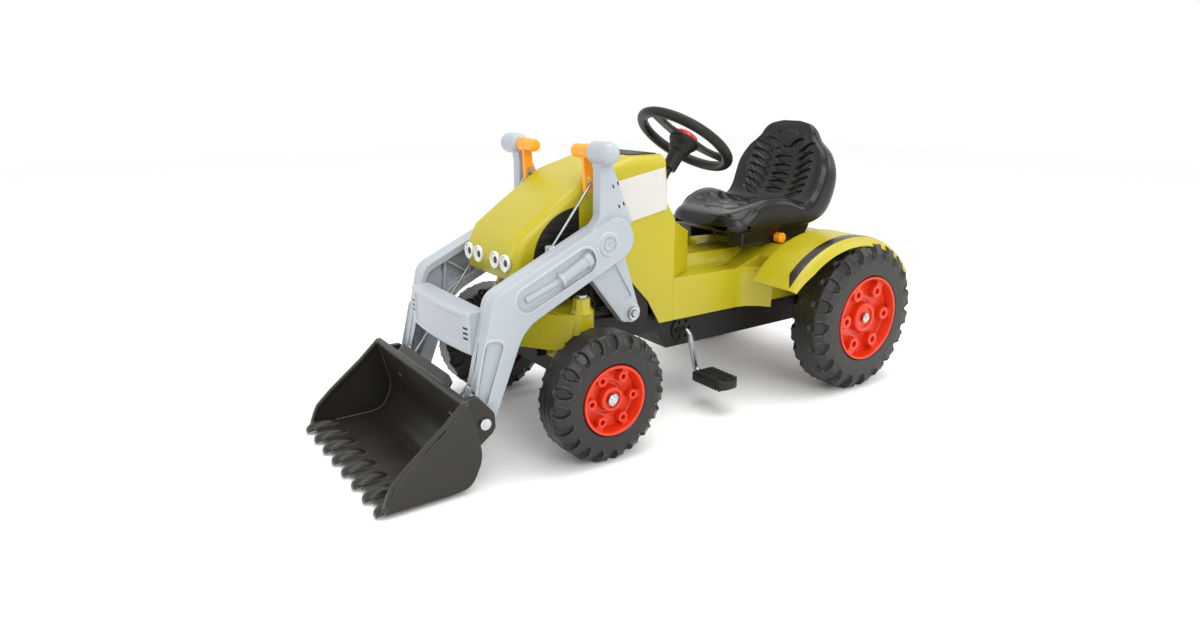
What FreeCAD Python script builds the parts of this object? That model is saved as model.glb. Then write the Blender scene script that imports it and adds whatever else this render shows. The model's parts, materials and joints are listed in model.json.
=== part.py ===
import FreeCAD, Part
import math
import os
import re
import Sketcher

# Ride-on pedal tractor with a front loader, in millimetres: +X forward, +Y left, +Z up.
# The origin lies on the floor under the middle of the tractor's box.

doc = FreeCAD.newDocument("RideOnTractor")
sheet = doc.addObject("Spreadsheet::Sheet", "Sizes")
Vector = FreeCAD.Vector

# Driving dimensions: name, value, meaning.
SIZES = (
    ("running_gap", 0.06, "radial clearance of a turning shaft"),
    ("seat_gap", 0.2, "clearance between fixed mouldings"),
    ("moving_gap", 0.6, "clearance between parts that move past each other"),
    ("rear_axle_x", -462, "rear axle"),
    ("wheelbase", 667, "rear axle to front axle"),
    ("rear_radius", 163, "rear tyre"),
    ("rear_width", 92, "rear tyre width"),
    ("rear_rim_radius", 93, "rear rim"),
    ("rear_clear", 40, "seat deck to the inner face of a rear tyre"),
    ("front_radius", 120, "front tyre"),
    ("front_width", 82, "front tyre width"),
    ("front_rim_radius", 65, "front rim"),
    ("front_clear", 25, "kingpin to the inner face of a front tyre"),
    ("shoulder", 19, "slanted shoulder of a tyre"),
    ("notch_count", 20, "notches round a tyre's shoulder"),
    ("notch_half", 8, "half width of a shoulder notch, round the tyre"),
    ("notch_depth", 5, "shoulder notch"),
    ("rim_dish", 24, "depth of the dished rim"),
    ("rim_disc", 7, "rim disc thickness"),
    ("rim_lip", 9, "rim barrel thickness"),
    ("rim_bosses", 6, "hollow bosses on a rim"),
    ("boss_radius", 13, "rim boss"),
    ("boss_bore", 7, "hole in a rim boss"),
    ("hub_radius", 25, "wheel hub"),
    ("axle_radius", 6, "axle rods"),
    ("cap_radius", 11, "axle end cap"),
    ("cap_height", 6, "axle end cap"),
    ("frame_half", 80, "half width of the chassis"),
    ("frame_wall", 4, "chassis wall"),
    ("frame_depth", 38, "height of the front carrier"),
    ("frame_behind", 94, "rear axle to the rear end of the chassis"),
    ("frame_ahead", 57, "front axle to the front end of the carrier"),
    ("keel_ahead", 40, "crank axis to the front end of the keel"),
    ("keel_slope", 30, "slanted ends of the keel"),
    ("keel_clear", 1.4, "room under the chain in the keel"),
    ("body_set", 16, "body sides outside the chassis"),
    ("body_wall", 3, "wall of the yellow mouldings"),
    ("wheel_behind", 101.42, "rear wall of the hood to the middle of the steering wheel"),
    ("cowl_lean", 28, "top of the hood's rear wall, ahead of its foot"),
    ("cowl_drop", 94, "top of the hood to where its rear wall leans"),
    ("console_reach", 70, "console behind the hood's rear wall"),
    ("console_half", 56, "half width of the console's rear end"),
    ("tunnel_half", 48, "half width of the tunnel between the foot wells"),
    ("tunnel_rise", 33, "tunnel above the step-through ledge"),
    ("skirt_drop", 17, "skirts of the hood and the tub below the top of the chassis"),
    ("hood_rise", 321, "hood above the chassis"),
    ("nose_ahead", 111, "front axle to the nose"),
    ("nose_rise", 109, "lower lip of the nose above the chassis"),
    ("hood_round", 20, "rounded upper edges of the hood"),
    ("step_rise", 69, "step-through ledge above the chassis"),
    ("deck_rise", 115, "seat deck above the chassis"),
    ("deck_flare", 44, "seat deck wider than the hood, each side"),
    ("deck_ahead", 132, "rear axle to the front of the seat deck"),
    ("flare_length", 105, "step-through ledge widening towards the seat deck"),
    ("fender_inset", 14, "outer edge of the fender inside the tyre's face"),
    ("fender_ahead", 37, "middle of the fender arch ahead of the axle"),
    ("fender_drop", 18, "centre of the fender arch below the axle"),
    ("fender_reach", 67, "half length of the fender arch beyond the tyre's radius"),
    ("fender_clear", 36, "rise of the fender arch beyond the tyre's radius"),
    ("fender_front", 33, "degrees at which the fender's front end lies"),
    ("fender_rear", 149, "degrees at which the fender's rear end lies"),
    ("fender_wall", 4, "fender thickness"),
    ("trim_wall", 2, "thickness of trim plates"),
    ("lamp_radius", 16, "headlamp"),
    ("lamp_rise", 36, "headlamps above the lip of the nose"),
    ("lamp_edge", 24, "outer headlamps from the side of the hood"),
    ("lamp_pitch", 39, "between two headlamps of a side"),
    ("grille_radius", 97, "quarter-round side grille"),
    ("grille_bars", 6, "slots in a side grille"),
    ("grille_slot", 6, "width of a grille slot"),
    ("engine_behind", 62, "rear wall of the hood to the engine block"),
    ("engine_clear", 3, "engine block to the axle cover"),
    ("engine_rise", 119, "engine block above the chassis"),
    ("engine_side", 1, "engine block to the hood's sides"),
    ("barrel_count", 3, "moulded barrels on each side of the engine block"),
    ("barrel_radius", 9, "moulded barrel"),
    ("barrel_height", 60, "moulded barrel"),
    ("barrel_pitch", 22, "between moulded barrels"),
    ("kingpin_reach", 65, "chassis side to a kingpin"),
    ("kingpin_radius", 6, "kingpins"),
    ("cover_rise", 53, "axle cover above the chassis"),
    ("tower_rise", 28, "kingpin towers above the axle cover"),
    ("cover_half", 37, "half length of the axle cover"),
    ("beam_clear", 3, "room between a stub axle and the beam"),
    ("beam_height", 30, "height of the axle beam"),
    ("knuckle_radius", 16, "knuckle barrel"),
    ("steer_arm", 95, "steering arm of a knuckle"),
    ("steer_arm_wall", 9, "thickness of a steering arm"),
    ("tie_drop", 30.6, "tie rod below the front axle"),
    ("tie_wall", 7, "thickness of the tie rod"),
    ("column_tilt", 35.7, "degrees that the steering column leans back"),
    ("column_radius", 8, "steering column"),
    ("column_length", 521, "wheel centre to the drop arm"),
    ("drop_arm", 50, "drop arm of the column"),
    ("wheel_ring", 103, "steering wheel ring"),
    ("wheel_grip", 9.3, "radius of the ring's section"),
    ("spoke_half", 14, "half width of a spoke"),
    ("spoke_wall", 10, "thickness of a spoke"),
    ("hub_depth", 26, "steering wheel hub, and the neck below it"),
    ("horn_radius", 21, "horn button"),
    ("horn_height", 24, "horn button"),
    ("horn_sink", 10, "depth of the horn button's well"),
    ("horn_travel", 6, "room under the horn button"),
    ("crank_behind", 38, "rear wall of the hood to the crank axis"),
    ("crank_drop", 45, "crank axis below the top of the chassis"),
    ("crank_throw", 95, "crank arm"),
    ("crank_lag", 14, "degrees that the left crank points behind straight down"),
    ("crank_gap", 26, "chassis side to the plane of the crank arms"),
    ("crank_bend", 14, "bend radius of the crank rod"),
    ("pedal_length", 90, "pedal along its pin"),
    ("pedal_half", 29, "half width of a pedal"),
    ("pedal_wall", 24, "pedal thickness"),
    ("pin_end", 8, "crank rod past the pedal"),
    ("disc_radius", 27, "perforated crank disc"),
    ("chain_y", 30, "chain line"),
    ("crank_sprocket_radius", 25, "front sprocket"),
    ("rear_sprocket_radius", 20, "rear sprocket"),
    ("sprocket_wall", 4, "sprocket thickness"),
    ("tooth_depth", 4, "sprocket teeth"),
    ("chain_wall", 5, "chain height"),
    ("chain_width", 8, "chain width"),
    ("seat_half", 147, "half width of the seat back"),
    ("seat_rise", 221, "seat back above the seat's underside"),
    ("seat_length", 352, "seat from front lip to back"),
    ("seat_behind", 58, "rear axle to the back of the seat"),
    ("seat_bolster", 52, "side bolsters of the seat"),
    ("seat_dish", 19, "dish of the seat below its bolsters"),
    ("seat_corner", 18, "rounding along the seat's edges"),
    ("head_half", 68, "half width of the seat's head"),
    ("rail_flange", 25, "half width of the seat rail's flange"),
    ("rail_web", 12, "half width of the seat rail's web"),
    ("rail_height", 20, "seat rail"),
    ("rail_plate", 8, "flange of the seat rail"),
    ("rail_length", 200, "seat rail"),
    ("rail_behind", 38, "rear axle to the rear end of the seat rail"),
    ("base_half", 104, "half width of the seat base"),
    ("base_length", 222, "seat base"),
    ("base_mouth", 66, "depth of the open front of the seat base"),
    ("base_cheek", 22, "side walls of that open front"),
    ("base_set", 50, "rear end of the seat rail to the seat base"),
    ("base_roof", 14, "seat base above the rail"),
    ("knob_radius", 11, "seat clamp knob"),
    ("knob_length", 18, "seat clamp knob"),
    ("knob_stud", 4, "radius of the clamp screw"),
    ("knob_set", 112, "clamp screw from the rear end of the seat base"),
    ("knob_rise", 13.5, "clamp screw above the seat deck"),
    ("lift_behind", 80, "front of the engine block to the loader pivot"),
    ("lift_rise", 32, "loader pivot above the chassis"),
    ("lift_bolt", 6, "loader pivot bolt radius"),
    ("eye_radius", 19, "loader eye"),
    ("leg_gap", 26, "engine block to the loader legs"),
    ("leg_wall", 22, "thickness of the loader legs"),
    ("arm_offset", 6, "loader arms outside the legs' inner faces"),
    ("arm_width", 41, "width of the loader arms"),
    ("arm_wall", 4, "wall of the loader arms"),
    ("arm_half", 37, "half depth of the loader arms"),
    ("heel_ahead", 56, "loader pivot to the rounded rear end of the arms"),
    ("heel_rise", 153, "rounded rear end of the arms above the pivot"),
    ("elbow_reach", 250, "rounded rear end of the arms to the elbow"),
    ("elbow_drop", 74, "elbow below the rounded rear end"),
    ("elbow_round", 34, "rounded elbow"),
    ("pin_reach", 32, "elbow to the bucket pin"),
    ("pin_rise", 98, "bucket pin above the bucket's floor"),
    ("pin_radius", 5, "bucket pin"),
    ("tip_radius", 21, "lower end of the arms"),
    ("grip_ahead", 26, "rounded rear end of the arms to the grip"),
    ("grip_rise", 151, "grip above the rounded rear end of the arms"),
    ("grip_radius", 20, "handle grip"),
    ("grip_set", 4, "inner end of the grip inside the arm's face"),
    ("grip_length", 45, "straight part of the grip"),
    ("trigger_head", 24, "length of a trigger's knob"),
    ("trigger_stud", 5, "radius of a trigger's stud"),
    ("trigger_depth", 20, "trigger stud inside the grip"),
    ("trigger_length", 57, "trigger stud to the latch rod"),
    ("bucket_side", 40, "bucket outside the arms"),
    ("bucket_wall", 4, "bucket wall"),
    ("bucket_low", 8, "underside of the bucket"),
    ("bucket_reach", 189, "bucket pin to the front edge of the bucket floor"),
    ("tooth_count", 8, "bucket teeth"),
    ("tooth_half", 9, "half width of a tooth"),
    ("lug_wall", 12.4, "thickness of the bucket lugs"),
    ("rod_radius", 2.5, "latch rods"),
    ("rod_set", 10, "latch rods inside the arms' faces"),
    ("rod_lag", 4, "latch rod's upper end behind the grip"),
    ("rod_ahead", 13, "latch rod's lower end ahead of the bucket pin"),
    ("rod_rise", 30, "latch rod's lower end above the bucket pin"),
    ("guide_half", 8, "half size of a latch rod's guide"),
    ("hitch_bore", 5.5, "tow pin hole radius"),
    ("hitch_behind", 42, "rear end of the chassis to the tow pin"),
    ("hitch_drop", 15, "tow plate below the carrier's floor"),
    ("hitch_half", 28, "half width of the tow plate"),
    ("hitch_lip", 22, "tow plate behind the tow pin"),
    ("hitch_wall", 8, "thickness of the tow plate"),
)

# Places worked out from the driving dimensions.
PLACES = {
    "front_x": "rear_axle_x + wheelbase",
    "beam_low": "front_radius + 2 * axle_radius + beam_clear",
    "carrier_floor": "beam_low + beam_height",
    "frame_top": "carrier_floor + frame_depth",
    "frame_rear": "rear_axle_x - frame_behind",
    "frame_front": "front_x + frame_ahead",
    "hood_rear": "wheel_x + wheel_behind",
    "console_rear": "hood_rear - console_reach",
    "skirt_low": "frame_top - skirt_drop",
    "tunnel_top": "step_z + tunnel_rise",
    "hood_top": "frame_top + hood_rise",
    "nose_x": "front_x + nose_ahead",
    "nose_low": "frame_top + nose_rise",
    "body_half": "frame_half + body_set",
    "step_z": "frame_top + step_rise",
    "deck_z": "frame_top + deck_rise",
    "deck_half": "body_half + deck_flare",
    "deck_front": "rear_axle_x + deck_ahead",
    "kingpin_y": "frame_half + kingpin_reach",
    "front_face": "kingpin_y + front_clear + front_width",
    "rear_face": "deck_half + rear_clear + rear_width",
    "fender_out": "rear_face - fender_inset",
    "fender_x": "rear_axle_x + fender_ahead",
    "fender_z": "rear_radius - fender_drop",
    "fender_long": "rear_radius + fender_reach",
    "fender_rise": "rear_radius + fender_clear",
    "lamp_z": "nose_low + lamp_rise",
    "lamp_outer": "body_half - lamp_edge",
    "lamp_inner": "lamp_outer - lamp_pitch",
    "engine_rear": "hood_rear + engine_behind",
    "engine_front": "front_x - cover_half - engine_clear",
    "engine_top": "frame_top + engine_rise",
    "engine_half": "body_half - body_wall - engine_side",
    "cover_top": "frame_top + cover_rise",
    "tower_top": "cover_top + tower_rise",
    "tie_x": "front_x - steer_arm",
    "tie_z": "front_radius - tie_drop",
    "lean_sine": "sin(column_tilt * 1 deg)",
    "lean_cosine": "cos(column_tilt * 1 deg)",
    "wheel_x": "tie_x + drop_arm * lean_cosine - column_length * lean_sine",
    "wheel_z": "tie_z + drop_arm * lean_sine + column_length * lean_cosine",
    "crank_x": "hood_rear - crank_behind",
    "crank_z": "frame_top - crank_drop",
    "crank_y": "frame_half + crank_gap",
    "keel_nose": "crank_x + keel_ahead",
    "chain_low": "min(crank_z - crank_sprocket_radius; rear_radius - rear_sprocket_radius)",
    "frame_floor": "chain_low - moving_gap - chain_wall - keel_clear - frame_wall",
    "rail_top": "deck_z + rail_height",
    "rail_rear": "rear_axle_x - rail_behind",
    "rail_front": "rail_rear + rail_length",
    "base_rear": "rail_rear + base_set",
    "base_front": "base_rear + base_length",
    "knob_x": "base_rear + knob_set",
    "knob_z": "deck_z + knob_rise",
    "seat_low": "rail_top + base_roof",
    "seat_back": "rear_axle_x - seat_behind",
    "seat_front": "seat_back + seat_length",
    "lift_x": "engine_front - lift_behind",
    "lift_z": "frame_top + lift_rise",
    "leg_in": "engine_half + leg_gap",
    "leg_out": "leg_in + leg_wall",
    "arm_in": "leg_in + arm_offset",
    "arm_out": "arm_in + arm_width",
    "heel_x": "lift_x + heel_ahead",
    "heel_z": "lift_z + heel_rise",
    "elbow_x": "heel_x + elbow_reach",
    "elbow_z": "heel_z - elbow_drop",
    "pin_x": "elbow_x + pin_reach",
    "pin_z": "bucket_low + pin_rise",
    "grip_x": "heel_x + grip_ahead",
    "grip_z": "heel_z + grip_rise",
    "grip_in": "arm_in + grip_set",
    "grip_out": "grip_in + grip_length",
    "bucket_half": "arm_out + bucket_side",
    "bucket_tip": "pin_x + bucket_reach",
    "lug_out": "arm_out + moving_gap + lug_wall",
    "lug_in": "arm_in - moving_gap - lug_wall",
    "rod_y": "arm_in - rod_set",
    "rod_top_x": "grip_x - rod_lag",
    "rod_top_z": "grip_z - trigger_length",
    "rod_low_x": "pin_x + rod_ahead",
    "rod_low_z": "pin_z + rod_rise",
    "hitch_x": "frame_rear - hitch_behind",
    "hitch_z": "carrier_floor - hitch_drop",
}

for row, (name, value, meaning) in enumerate(SIZES, start=1):
    sheet.set(f"A{row}", name)
    sheet.set(f"B{row}", str(value))
    sheet.setAlias(f"B{row}", name)
    sheet.set(f"C{row}", meaning)
doc.recompute()

ALIASES = {name for name, value, meaning in SIZES}
nodes = []


# Spells an expression of sizes and places out in cells of the sheet.
def linked(text):
    def spelled(match):
        name = match[0]
        if name in PLACES:
            return "(" + linked(PLACES[name]) + ")"
        return "Sizes." + name if name in ALIASES else name
    return re.sub(r"[A-Za-z_]\w*", spelled, str(text))


# Value of such an expression.
def size(text):
    return float(sheet.evalExpression(linked(text)))


def bind(item, path, text):
    item.setExpression(path, linked(text))


def place(item, x=0, y=0, z=0, axis=None, angle=0):
    if axis:
        item.Placement = FreeCAD.Placement(Vector(), FreeCAD.Rotation(Vector(*axis), size(angle)))
    for path, text in (("x", x), ("y", y), ("z", z)):
        if str(text) != "0":
            bind(item, "Placement.Base." + path, text)
    return item


# Keeps a finished sub-part under its own name.
def node(item, label):
    item.Label = label
    nodes.append(item)
    return item


def new_body(label, **where):
    return place(doc.addObject("PartDesign::Body", label), **where)


def origin_item(body, role):
    return next(item for item in body.Origin.OriginFeatures if item.Role == role)


def new_sketch(body, role, name, offset="0"):
    sketch = body.newObject("Sketcher::SketchObject", name)
    sketch.AttachmentSupport = [(origin_item(body, role), "")]
    sketch.MapMode = "FlatFace"
    if offset != "0":
        bind(sketch, "AttachmentOffset.Base.z", offset)
    return sketch


# Closed outline of straight lines, each corner held by the sheet.
def draw_outline(sketch, points):
    spots = [Vector(size(u), size(v), 0) for u, v in points]
    first = sketch.GeometryCount
    count = len(points)
    for i in range(count):
        sketch.addGeometry(Part.LineSegment(spots[i], spots[(i + 1) % count]))
    for i in range(count):
        sketch.addConstraint(Sketcher.Constraint("Coincident", first + i, 2, first + (i + 1) % count, 1))
    for i, (u, v) in enumerate(points):
        for kind, text, value in (("DistanceX", u, spots[i].x), ("DistanceY", v, spots[i].y)):
            rule = sketch.addConstraint(Sketcher.Constraint(kind, -1, 1, first + i, 1, value))
            bind(sketch, f"Constraints[{rule}]", text)


def draw_circle(sketch, u, v, radius):
    spot = Vector(size(u), size(v), 0)
    geo = sketch.addGeometry(Part.Circle(spot, Vector(0, 0, 1), size(radius)))
    for kind, text, value in (("DistanceX", u, spot.x), ("DistanceY", v, spot.y)):
        rule = sketch.addConstraint(Sketcher.Constraint(kind, -1, 1, geo, 3, value))
        bind(sketch, f"Constraints[{rule}]", text)
    rule = sketch.addConstraint(Sketcher.Constraint("Radius", geo, size(radius)))
    bind(sketch, f"Constraints[{rule}]", radius)


# Adds or removes an extruded sketch; length None goes through everything.
def extrude(body, kind, sketch, length, both=False, reverse=False):
    feature = body.newObject("PartDesign::" + kind, sketch.Name + "_" + kind.lower())
    feature.Profile = sketch
    if length is None:
        feature.Type = 1
    else:
        bind(feature, "Length", length)
    feature.Midplane = both
    feature.Reversed = reverse
    return feature


def revolve(body, sketch, axis="H_Axis"):
    feature = body.newObject("PartDesign::Revolution", sketch.Name + "_turned")
    feature.Profile = sketch
    feature.ReferenceAxis = (sketch, [axis])
    feature.Angle = 360
    return feature


def polar(body, feature, count, role="Y_Axis"):
    pattern = body.newObject("PartDesign::PolarPattern", feature.Name + "_ring")
    pattern.Originals = [feature]
    pattern.Axis = (origin_item(body, role), [""])
    pattern.Angle = 360
    bind(pattern, "Occurrences", count)
    body.Tip = pattern
    return pattern


# Rounds the edges of the tip that a test picks.
def round_edges(body, radius, picks, name):
    doc.recompute()
    base = body.Tip
    names = [f"Edge{i}" for i, edge in enumerate(base.Shape.Edges, start=1) if picks(edge)]
    feature = body.newObject("PartDesign::Fillet", name)
    feature.Base = (base, names)
    bind(feature, "Radius", radius)
    body.Tip = feature
    return feature


# A plate: an outline in the side view (x, z) between two distances from the middle plane.
def side_plate(label, side, points, inner, outer):
    body = new_body(label, y=f"{side} * ({inner})")
    sketch = new_sketch(body, "XZ_Plane", label + "_outline")
    draw_outline(sketch, points)
    extrude(body, "Pad", sketch, f"{outer} - ({inner})", reverse=side > 0)
    return body


# A bar: an outline in the side view, across the middle plane.
def cross_bar(label, points, width):
    body = new_body(label)
    sketch = new_sketch(body, "XZ_Plane", label + "_outline")
    draw_outline(sketch, points)
    extrude(body, "Pad", sketch, width, both=True)
    return body


def box(label, x0, x1, y0, y1, z0, z1):
    item = doc.addObject("Part::Box", label)
    for path, low, high in (("Length", x0, x1), ("Width", y0, y1), ("Height", z0, z1)):
        bind(item, path, f"({high}) - ({low})")
    return place(item, x=x0, y=y0, z=z0)


TURNS = {"+x": ((0, 1, 0), 90), "+y": ((1, 0, 0), -90), "-y": ((1, 0, 0), 90), "+z": ((0, 0, 1), 0)}


def rod(label, radius, length, x, y, z, along="+z"):
    item = doc.addObject("Part::Cylinder", label)
    bind(item, "Radius", radius)
    bind(item, "Height", length)
    axis, angle = TURNS[along]
    return place(item, x=x, y=y, z=z, axis=axis, angle=angle)


def cone(label, low_radius, high_radius, height, x, y, z, along="+z"):
    item = doc.addObject("Part::Cone", label)
    bind(item, "Radius1", low_radius)
    bind(item, "Radius2", high_radius)
    bind(item, "Height", height)
    axis, angle = TURNS[along]
    return place(item, x=x, y=y, z=z, axis=axis, angle=angle)


def fuse(label, items):
    item = doc.addObject("Part::MultiFuse", label)
    item.Shapes = items
    return item


def cut(label, base, tools):
    item = doc.addObject("Part::Cut", label)
    item.Base = base
    item.Tool = tools[0] if len(tools) == 1 else fuse(label + "_cutters", tools)
    return item


def group(label, items):
    item = doc.addObject("Part::Compound", label)
    item.Links = items
    return item


# A free form that no simpler feature gives, made from sheet values.
def free_form(label, shape):
    item = doc.addObject("Part::Feature", label)
    item.Shape = shape
    return item


# Line through points with tangent arcs at its corners.
def bent_path(points, radius):
    edges = []
    start = points[0]
    for before, corner, after in zip(points, points[1:], points[2:]):
        to_before = (before - corner).normalize()
        to_after = (after - corner).normalize()
        half = to_before.getAngle(to_after) / 2
        reach = radius / math.tan(half)
        bisector = (to_before + to_after).normalize()
        middle = corner + bisector * (radius / math.sin(half) - radius)
        entry = corner + to_before * reach
        leave = corner + to_after * reach
        edges.append(Part.LineSegment(start, entry).toShape())
        edges.append(Part.Arc(entry, middle, leave).toShape())
        start = leave
    edges.append(Part.LineSegment(start, points[-1]).toShape())
    return Part.Wire(edges)


# Round bar along such a path.
def bent_rod(label, points, radius, bend):
    path = bent_path(points, bend)
    heading = points[1] - points[0]
    section = Part.Wire([Part.Circle(points[0], heading, radius).toShape()])
    return free_form(label, path.makePipeShell([section], True, False))


SIDES = (("left", 1), ("right", -1))


# Wheels: a tyre with notched shoulders on a dished rim with hollow bosses.
def tyre(label, x, y, radius, width, rim, side):
    body = new_body(label, x=x, y=y, z=radius, axis=(0, 0, 1), angle=90 - 90 * side)
    carcass = new_sketch(body, "YZ_Plane", label + "_section")
    bore = f"{rim} + seat_gap"
    half = f"{width} / 2"
    draw_outline(carcass, (
        (f"-{half}", bore), (half, bore), (half, f"{radius} - shoulder"), (f"{half} - shoulder", radius),
        (f"shoulder - {half}", radius), (f"-{half}", f"{radius} - shoulder")))
    revolve(body, carcass)
    reach = "(shoulder * 0.71 + notch_depth)"
    for name, out in SIDES:
        notch = new_sketch(body, "XY_Plane", f"{label}_{name}_notch")
        notch.AttachmentOffset = FreeCAD.Placement(Vector(), FreeCAD.Rotation(Vector(1, 0, 0), -45 * out))
        bind(notch, "AttachmentOffset.Base.y", f"{out} * ({half} - shoulder / 2)")
        bind(notch, "AttachmentOffset.Base.z", f"{radius} - shoulder / 2")
        draw_outline(notch, (
            ("-notch_half / 3", f"-{reach}"), ("notch_half / 3", f"-{reach}"),
            ("notch_half", f"-{reach} / 3"), ("notch_half", f"{reach} / 3"),
            ("notch_half / 3", reach), ("-notch_half / 3", reach),
            ("-notch_half", f"{reach} / 3"), ("-notch_half", f"-{reach} / 3")))
        polar(body, extrude(body, "Pocket", notch, "notch_depth"), "notch_count")
    node(body, label)


def rim(label, x, y, radius, width, rim_radius, side):
    body = new_body(label, x=x, y=y, z=radius, axis=(0, 0, 1), angle=90 - 90 * side)
    section = new_sketch(body, "YZ_Plane", label + "_section")
    bore = "axle_radius + running_gap"
    half = f"{width} / 2"
    face = f"({half} - rim_dish)"
    back = f"({face} - rim_disc)"
    barrel = f"{rim_radius} - rim_lip"
    draw_outline(section, (
        (f"-{half} + rim_lip", bore), (f"{half} - rim_lip", bore), (f"{half} - rim_lip", "hub_radius * 0.7"),
        (face, "hub_radius"), (face, barrel), (half, f"{barrel} + rim_lip * 0.4"), (half, rim_radius),
        (f"-{half} + rim_lip", rim_radius), (f"-{half} + rim_lip", barrel), (back, barrel),
        (back, "hub_radius"), (f"-{half} + rim_lip", "hub_radius * 0.7")))
    revolve(body, section)
    pitch = f"(hub_radius + {barrel}) / 2"
    boss = new_sketch(body, "XZ_Plane", label + "_boss", offset=f"1 - {face}")
    draw_circle(boss, "0", pitch, f"min(boss_radius; ({barrel} - hub_radius) / 2 - 1)")
    polar(body, extrude(body, "Pad", boss, "rim_dish - rim_lip", reverse=True), "rim_bosses")
    hole = new_sketch(body, "XZ_Plane", label + "_boss_hole", offset=f"-{half}")
    draw_circle(hole, "0", pitch, "boss_bore")
    polar(body, extrude(body, "Pocket", hole, "rim_dish - 2"), "rim_bosses")
    node(body, label)


def wheels():
    for name, side in SIDES:
        for end, x in (("front", "front_x"), ("rear", "rear_axle_x")):
            sizes = (f"{end}_radius", f"{end}_width", f"{end}_rim_radius", side)
            y = f"{side} * ({end}_face - {end}_width / 2)"
            tyre(f"{end}_{name}_tyre", x, y, *sizes)
            rim(f"{end}_{name}_rim", x, y, *sizes)


# Chassis: a long open-topped channel with a keel behind and a shallow carrier in front.
def chassis():
    body = cross_bar("chassis_channel", (
        ("frame_rear", "frame_top"), ("frame_rear", "carrier_floor"),
        ("frame_rear + keel_slope", "frame_floor"), ("keel_nose", "frame_floor"),
        ("keel_nose + keel_slope", "carrier_floor"), ("frame_front", "carrier_floor"),
        ("frame_front", "frame_top")), "2 * frame_half")
    inside = new_sketch(body, "XZ_Plane", "chassis_inside")
    draw_outline(inside, (
        ("frame_rear + frame_wall", "frame_top + frame_wall"),
        ("frame_rear + frame_wall", "carrier_floor + frame_wall / 2"),
        ("frame_rear + keel_slope + frame_wall / 2", "frame_floor + frame_wall"),
        ("keel_nose - frame_wall / 2", "frame_floor + frame_wall"),
        ("keel_nose + keel_slope - frame_wall / 2", "carrier_floor + frame_wall"),
        ("frame_front - frame_wall", "carrier_floor + frame_wall"),
        ("frame_front - frame_wall", "frame_top + frame_wall")))
    extrude(body, "Pocket", inside, "2 * (frame_half - frame_wall)", both=True)
    bores = new_sketch(body, "XZ_Plane", "chassis_bores")
    draw_circle(bores, "rear_axle_x", "rear_radius", "axle_radius + frame_wall")
    draw_circle(bores, "crank_x", "crank_z", "axle_radius + frame_wall")
    extrude(body, "Pocket", bores, None, both=True)
    reach = "(column_length - column_radius)"
    shaft = rod("column_passage", "column_radius + running_gap", reach, "wheel_x", "0", "wheel_z")
    tilt_about_wheel(shaft, f"-{reach}")
    node(cut("chassis_shell", body, [shaft]), "chassis_frame")
    bushes = []
    discs = []
    for name, side in SIDES:
        along = "+y" if side > 0 else "-y"
        y = f"{side} * (frame_half - frame_wall)"
        for key, x, z, items in (("rear", "rear_axle_x", "rear_radius", bushes),
                                 ("crank", "crank_x", "crank_z", discs)):
            sleeve = rod(f"{key}_{name}_sleeve", "axle_radius + frame_wall - seat_gap / 4",
                         "frame_wall * 2.5", x, y, z, along)
            radius = "disc_radius" if key == "crank" else "axle_radius + 3 * frame_wall"
            plate = rod(f"{key}_{name}_plate", radius, "frame_wall", x,
                        f"{side} * (frame_half + seat_gap)", z, along)
            tools = [rod(f"{key}_{name}_bore", "axle_radius + running_gap", "frame_wall * 6", x,
                         f"{side} * (frame_half - 2 * frame_wall)", z, along)]
            for step in range(6 if key == "crank" else 0):
                turn = f"{60 * step} deg"
                tools.append(rod(f"crank_{name}_hole_{step}", "disc_radius / 7", "frame_wall * 3",
                                 f"{x} + disc_radius * 0.68 * cos({turn})",
                                 f"{side} * (frame_half - frame_wall)",
                                 f"{z} + disc_radius * 0.68 * sin({turn})", along))
            items.append(cut(f"{key}_{name}_bush", fuse(f"{key}_{name}_flanged", [sleeve, plate]), tools))
    node(group("rear_bush_pair", bushes), "rear_bushes")
    node(group("crank_disc_pair", discs), "crank_discs")
    rear = "frame_rear - seat_gap"
    plate = box("hitch_plate", "hitch_x - hitch_lip", rear, "-hitch_half", "hitch_half",
                "hitch_z", "hitch_z + hitch_wall")
    flange = box("hitch_flange", f"{rear} - hitch_wall", rear, "-hitch_half", "hitch_half",
                 "hitch_z", "frame_top - frame_wall")
    pin_hole = rod("hitch_hole", "hitch_bore", "3 * hitch_wall", "hitch_x", "0", "hitch_z - hitch_wall")
    node(cut("hitch", fuse("hitch_angle", [plate, flange]), [pin_hole]), "tow_hitch")


# Puts a piece on the tilted steering axis, a distance along it from the wheel's centre.
def tilt_about_wheel(item, along="0", out="0"):
    item.Placement = FreeCAD.Placement(Vector(), FreeCAD.Rotation(Vector(0, 1, 0), -size("column_tilt")))
    bind(item, "Placement.Rotation.Angle", "-column_tilt * 1 deg")
    bind(item, "Placement.Base.x", f"wheel_x - ({along}) * lean_sine + ({out}) * lean_cosine")
    bind(item, "Placement.Base.z", f"wheel_z + ({along}) * lean_cosine + ({out}) * lean_sine")
    return item


# Side view of the place on a side's crank arm at a distance from the crank's axis.
def crank_arm(side, reach):
    lag = math.radians(size("crank_lag"))
    x = size("crank_x") - side * reach * math.sin(lag)
    z = size("crank_z") - side * reach * math.cos(lag)
    return x, z


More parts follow.
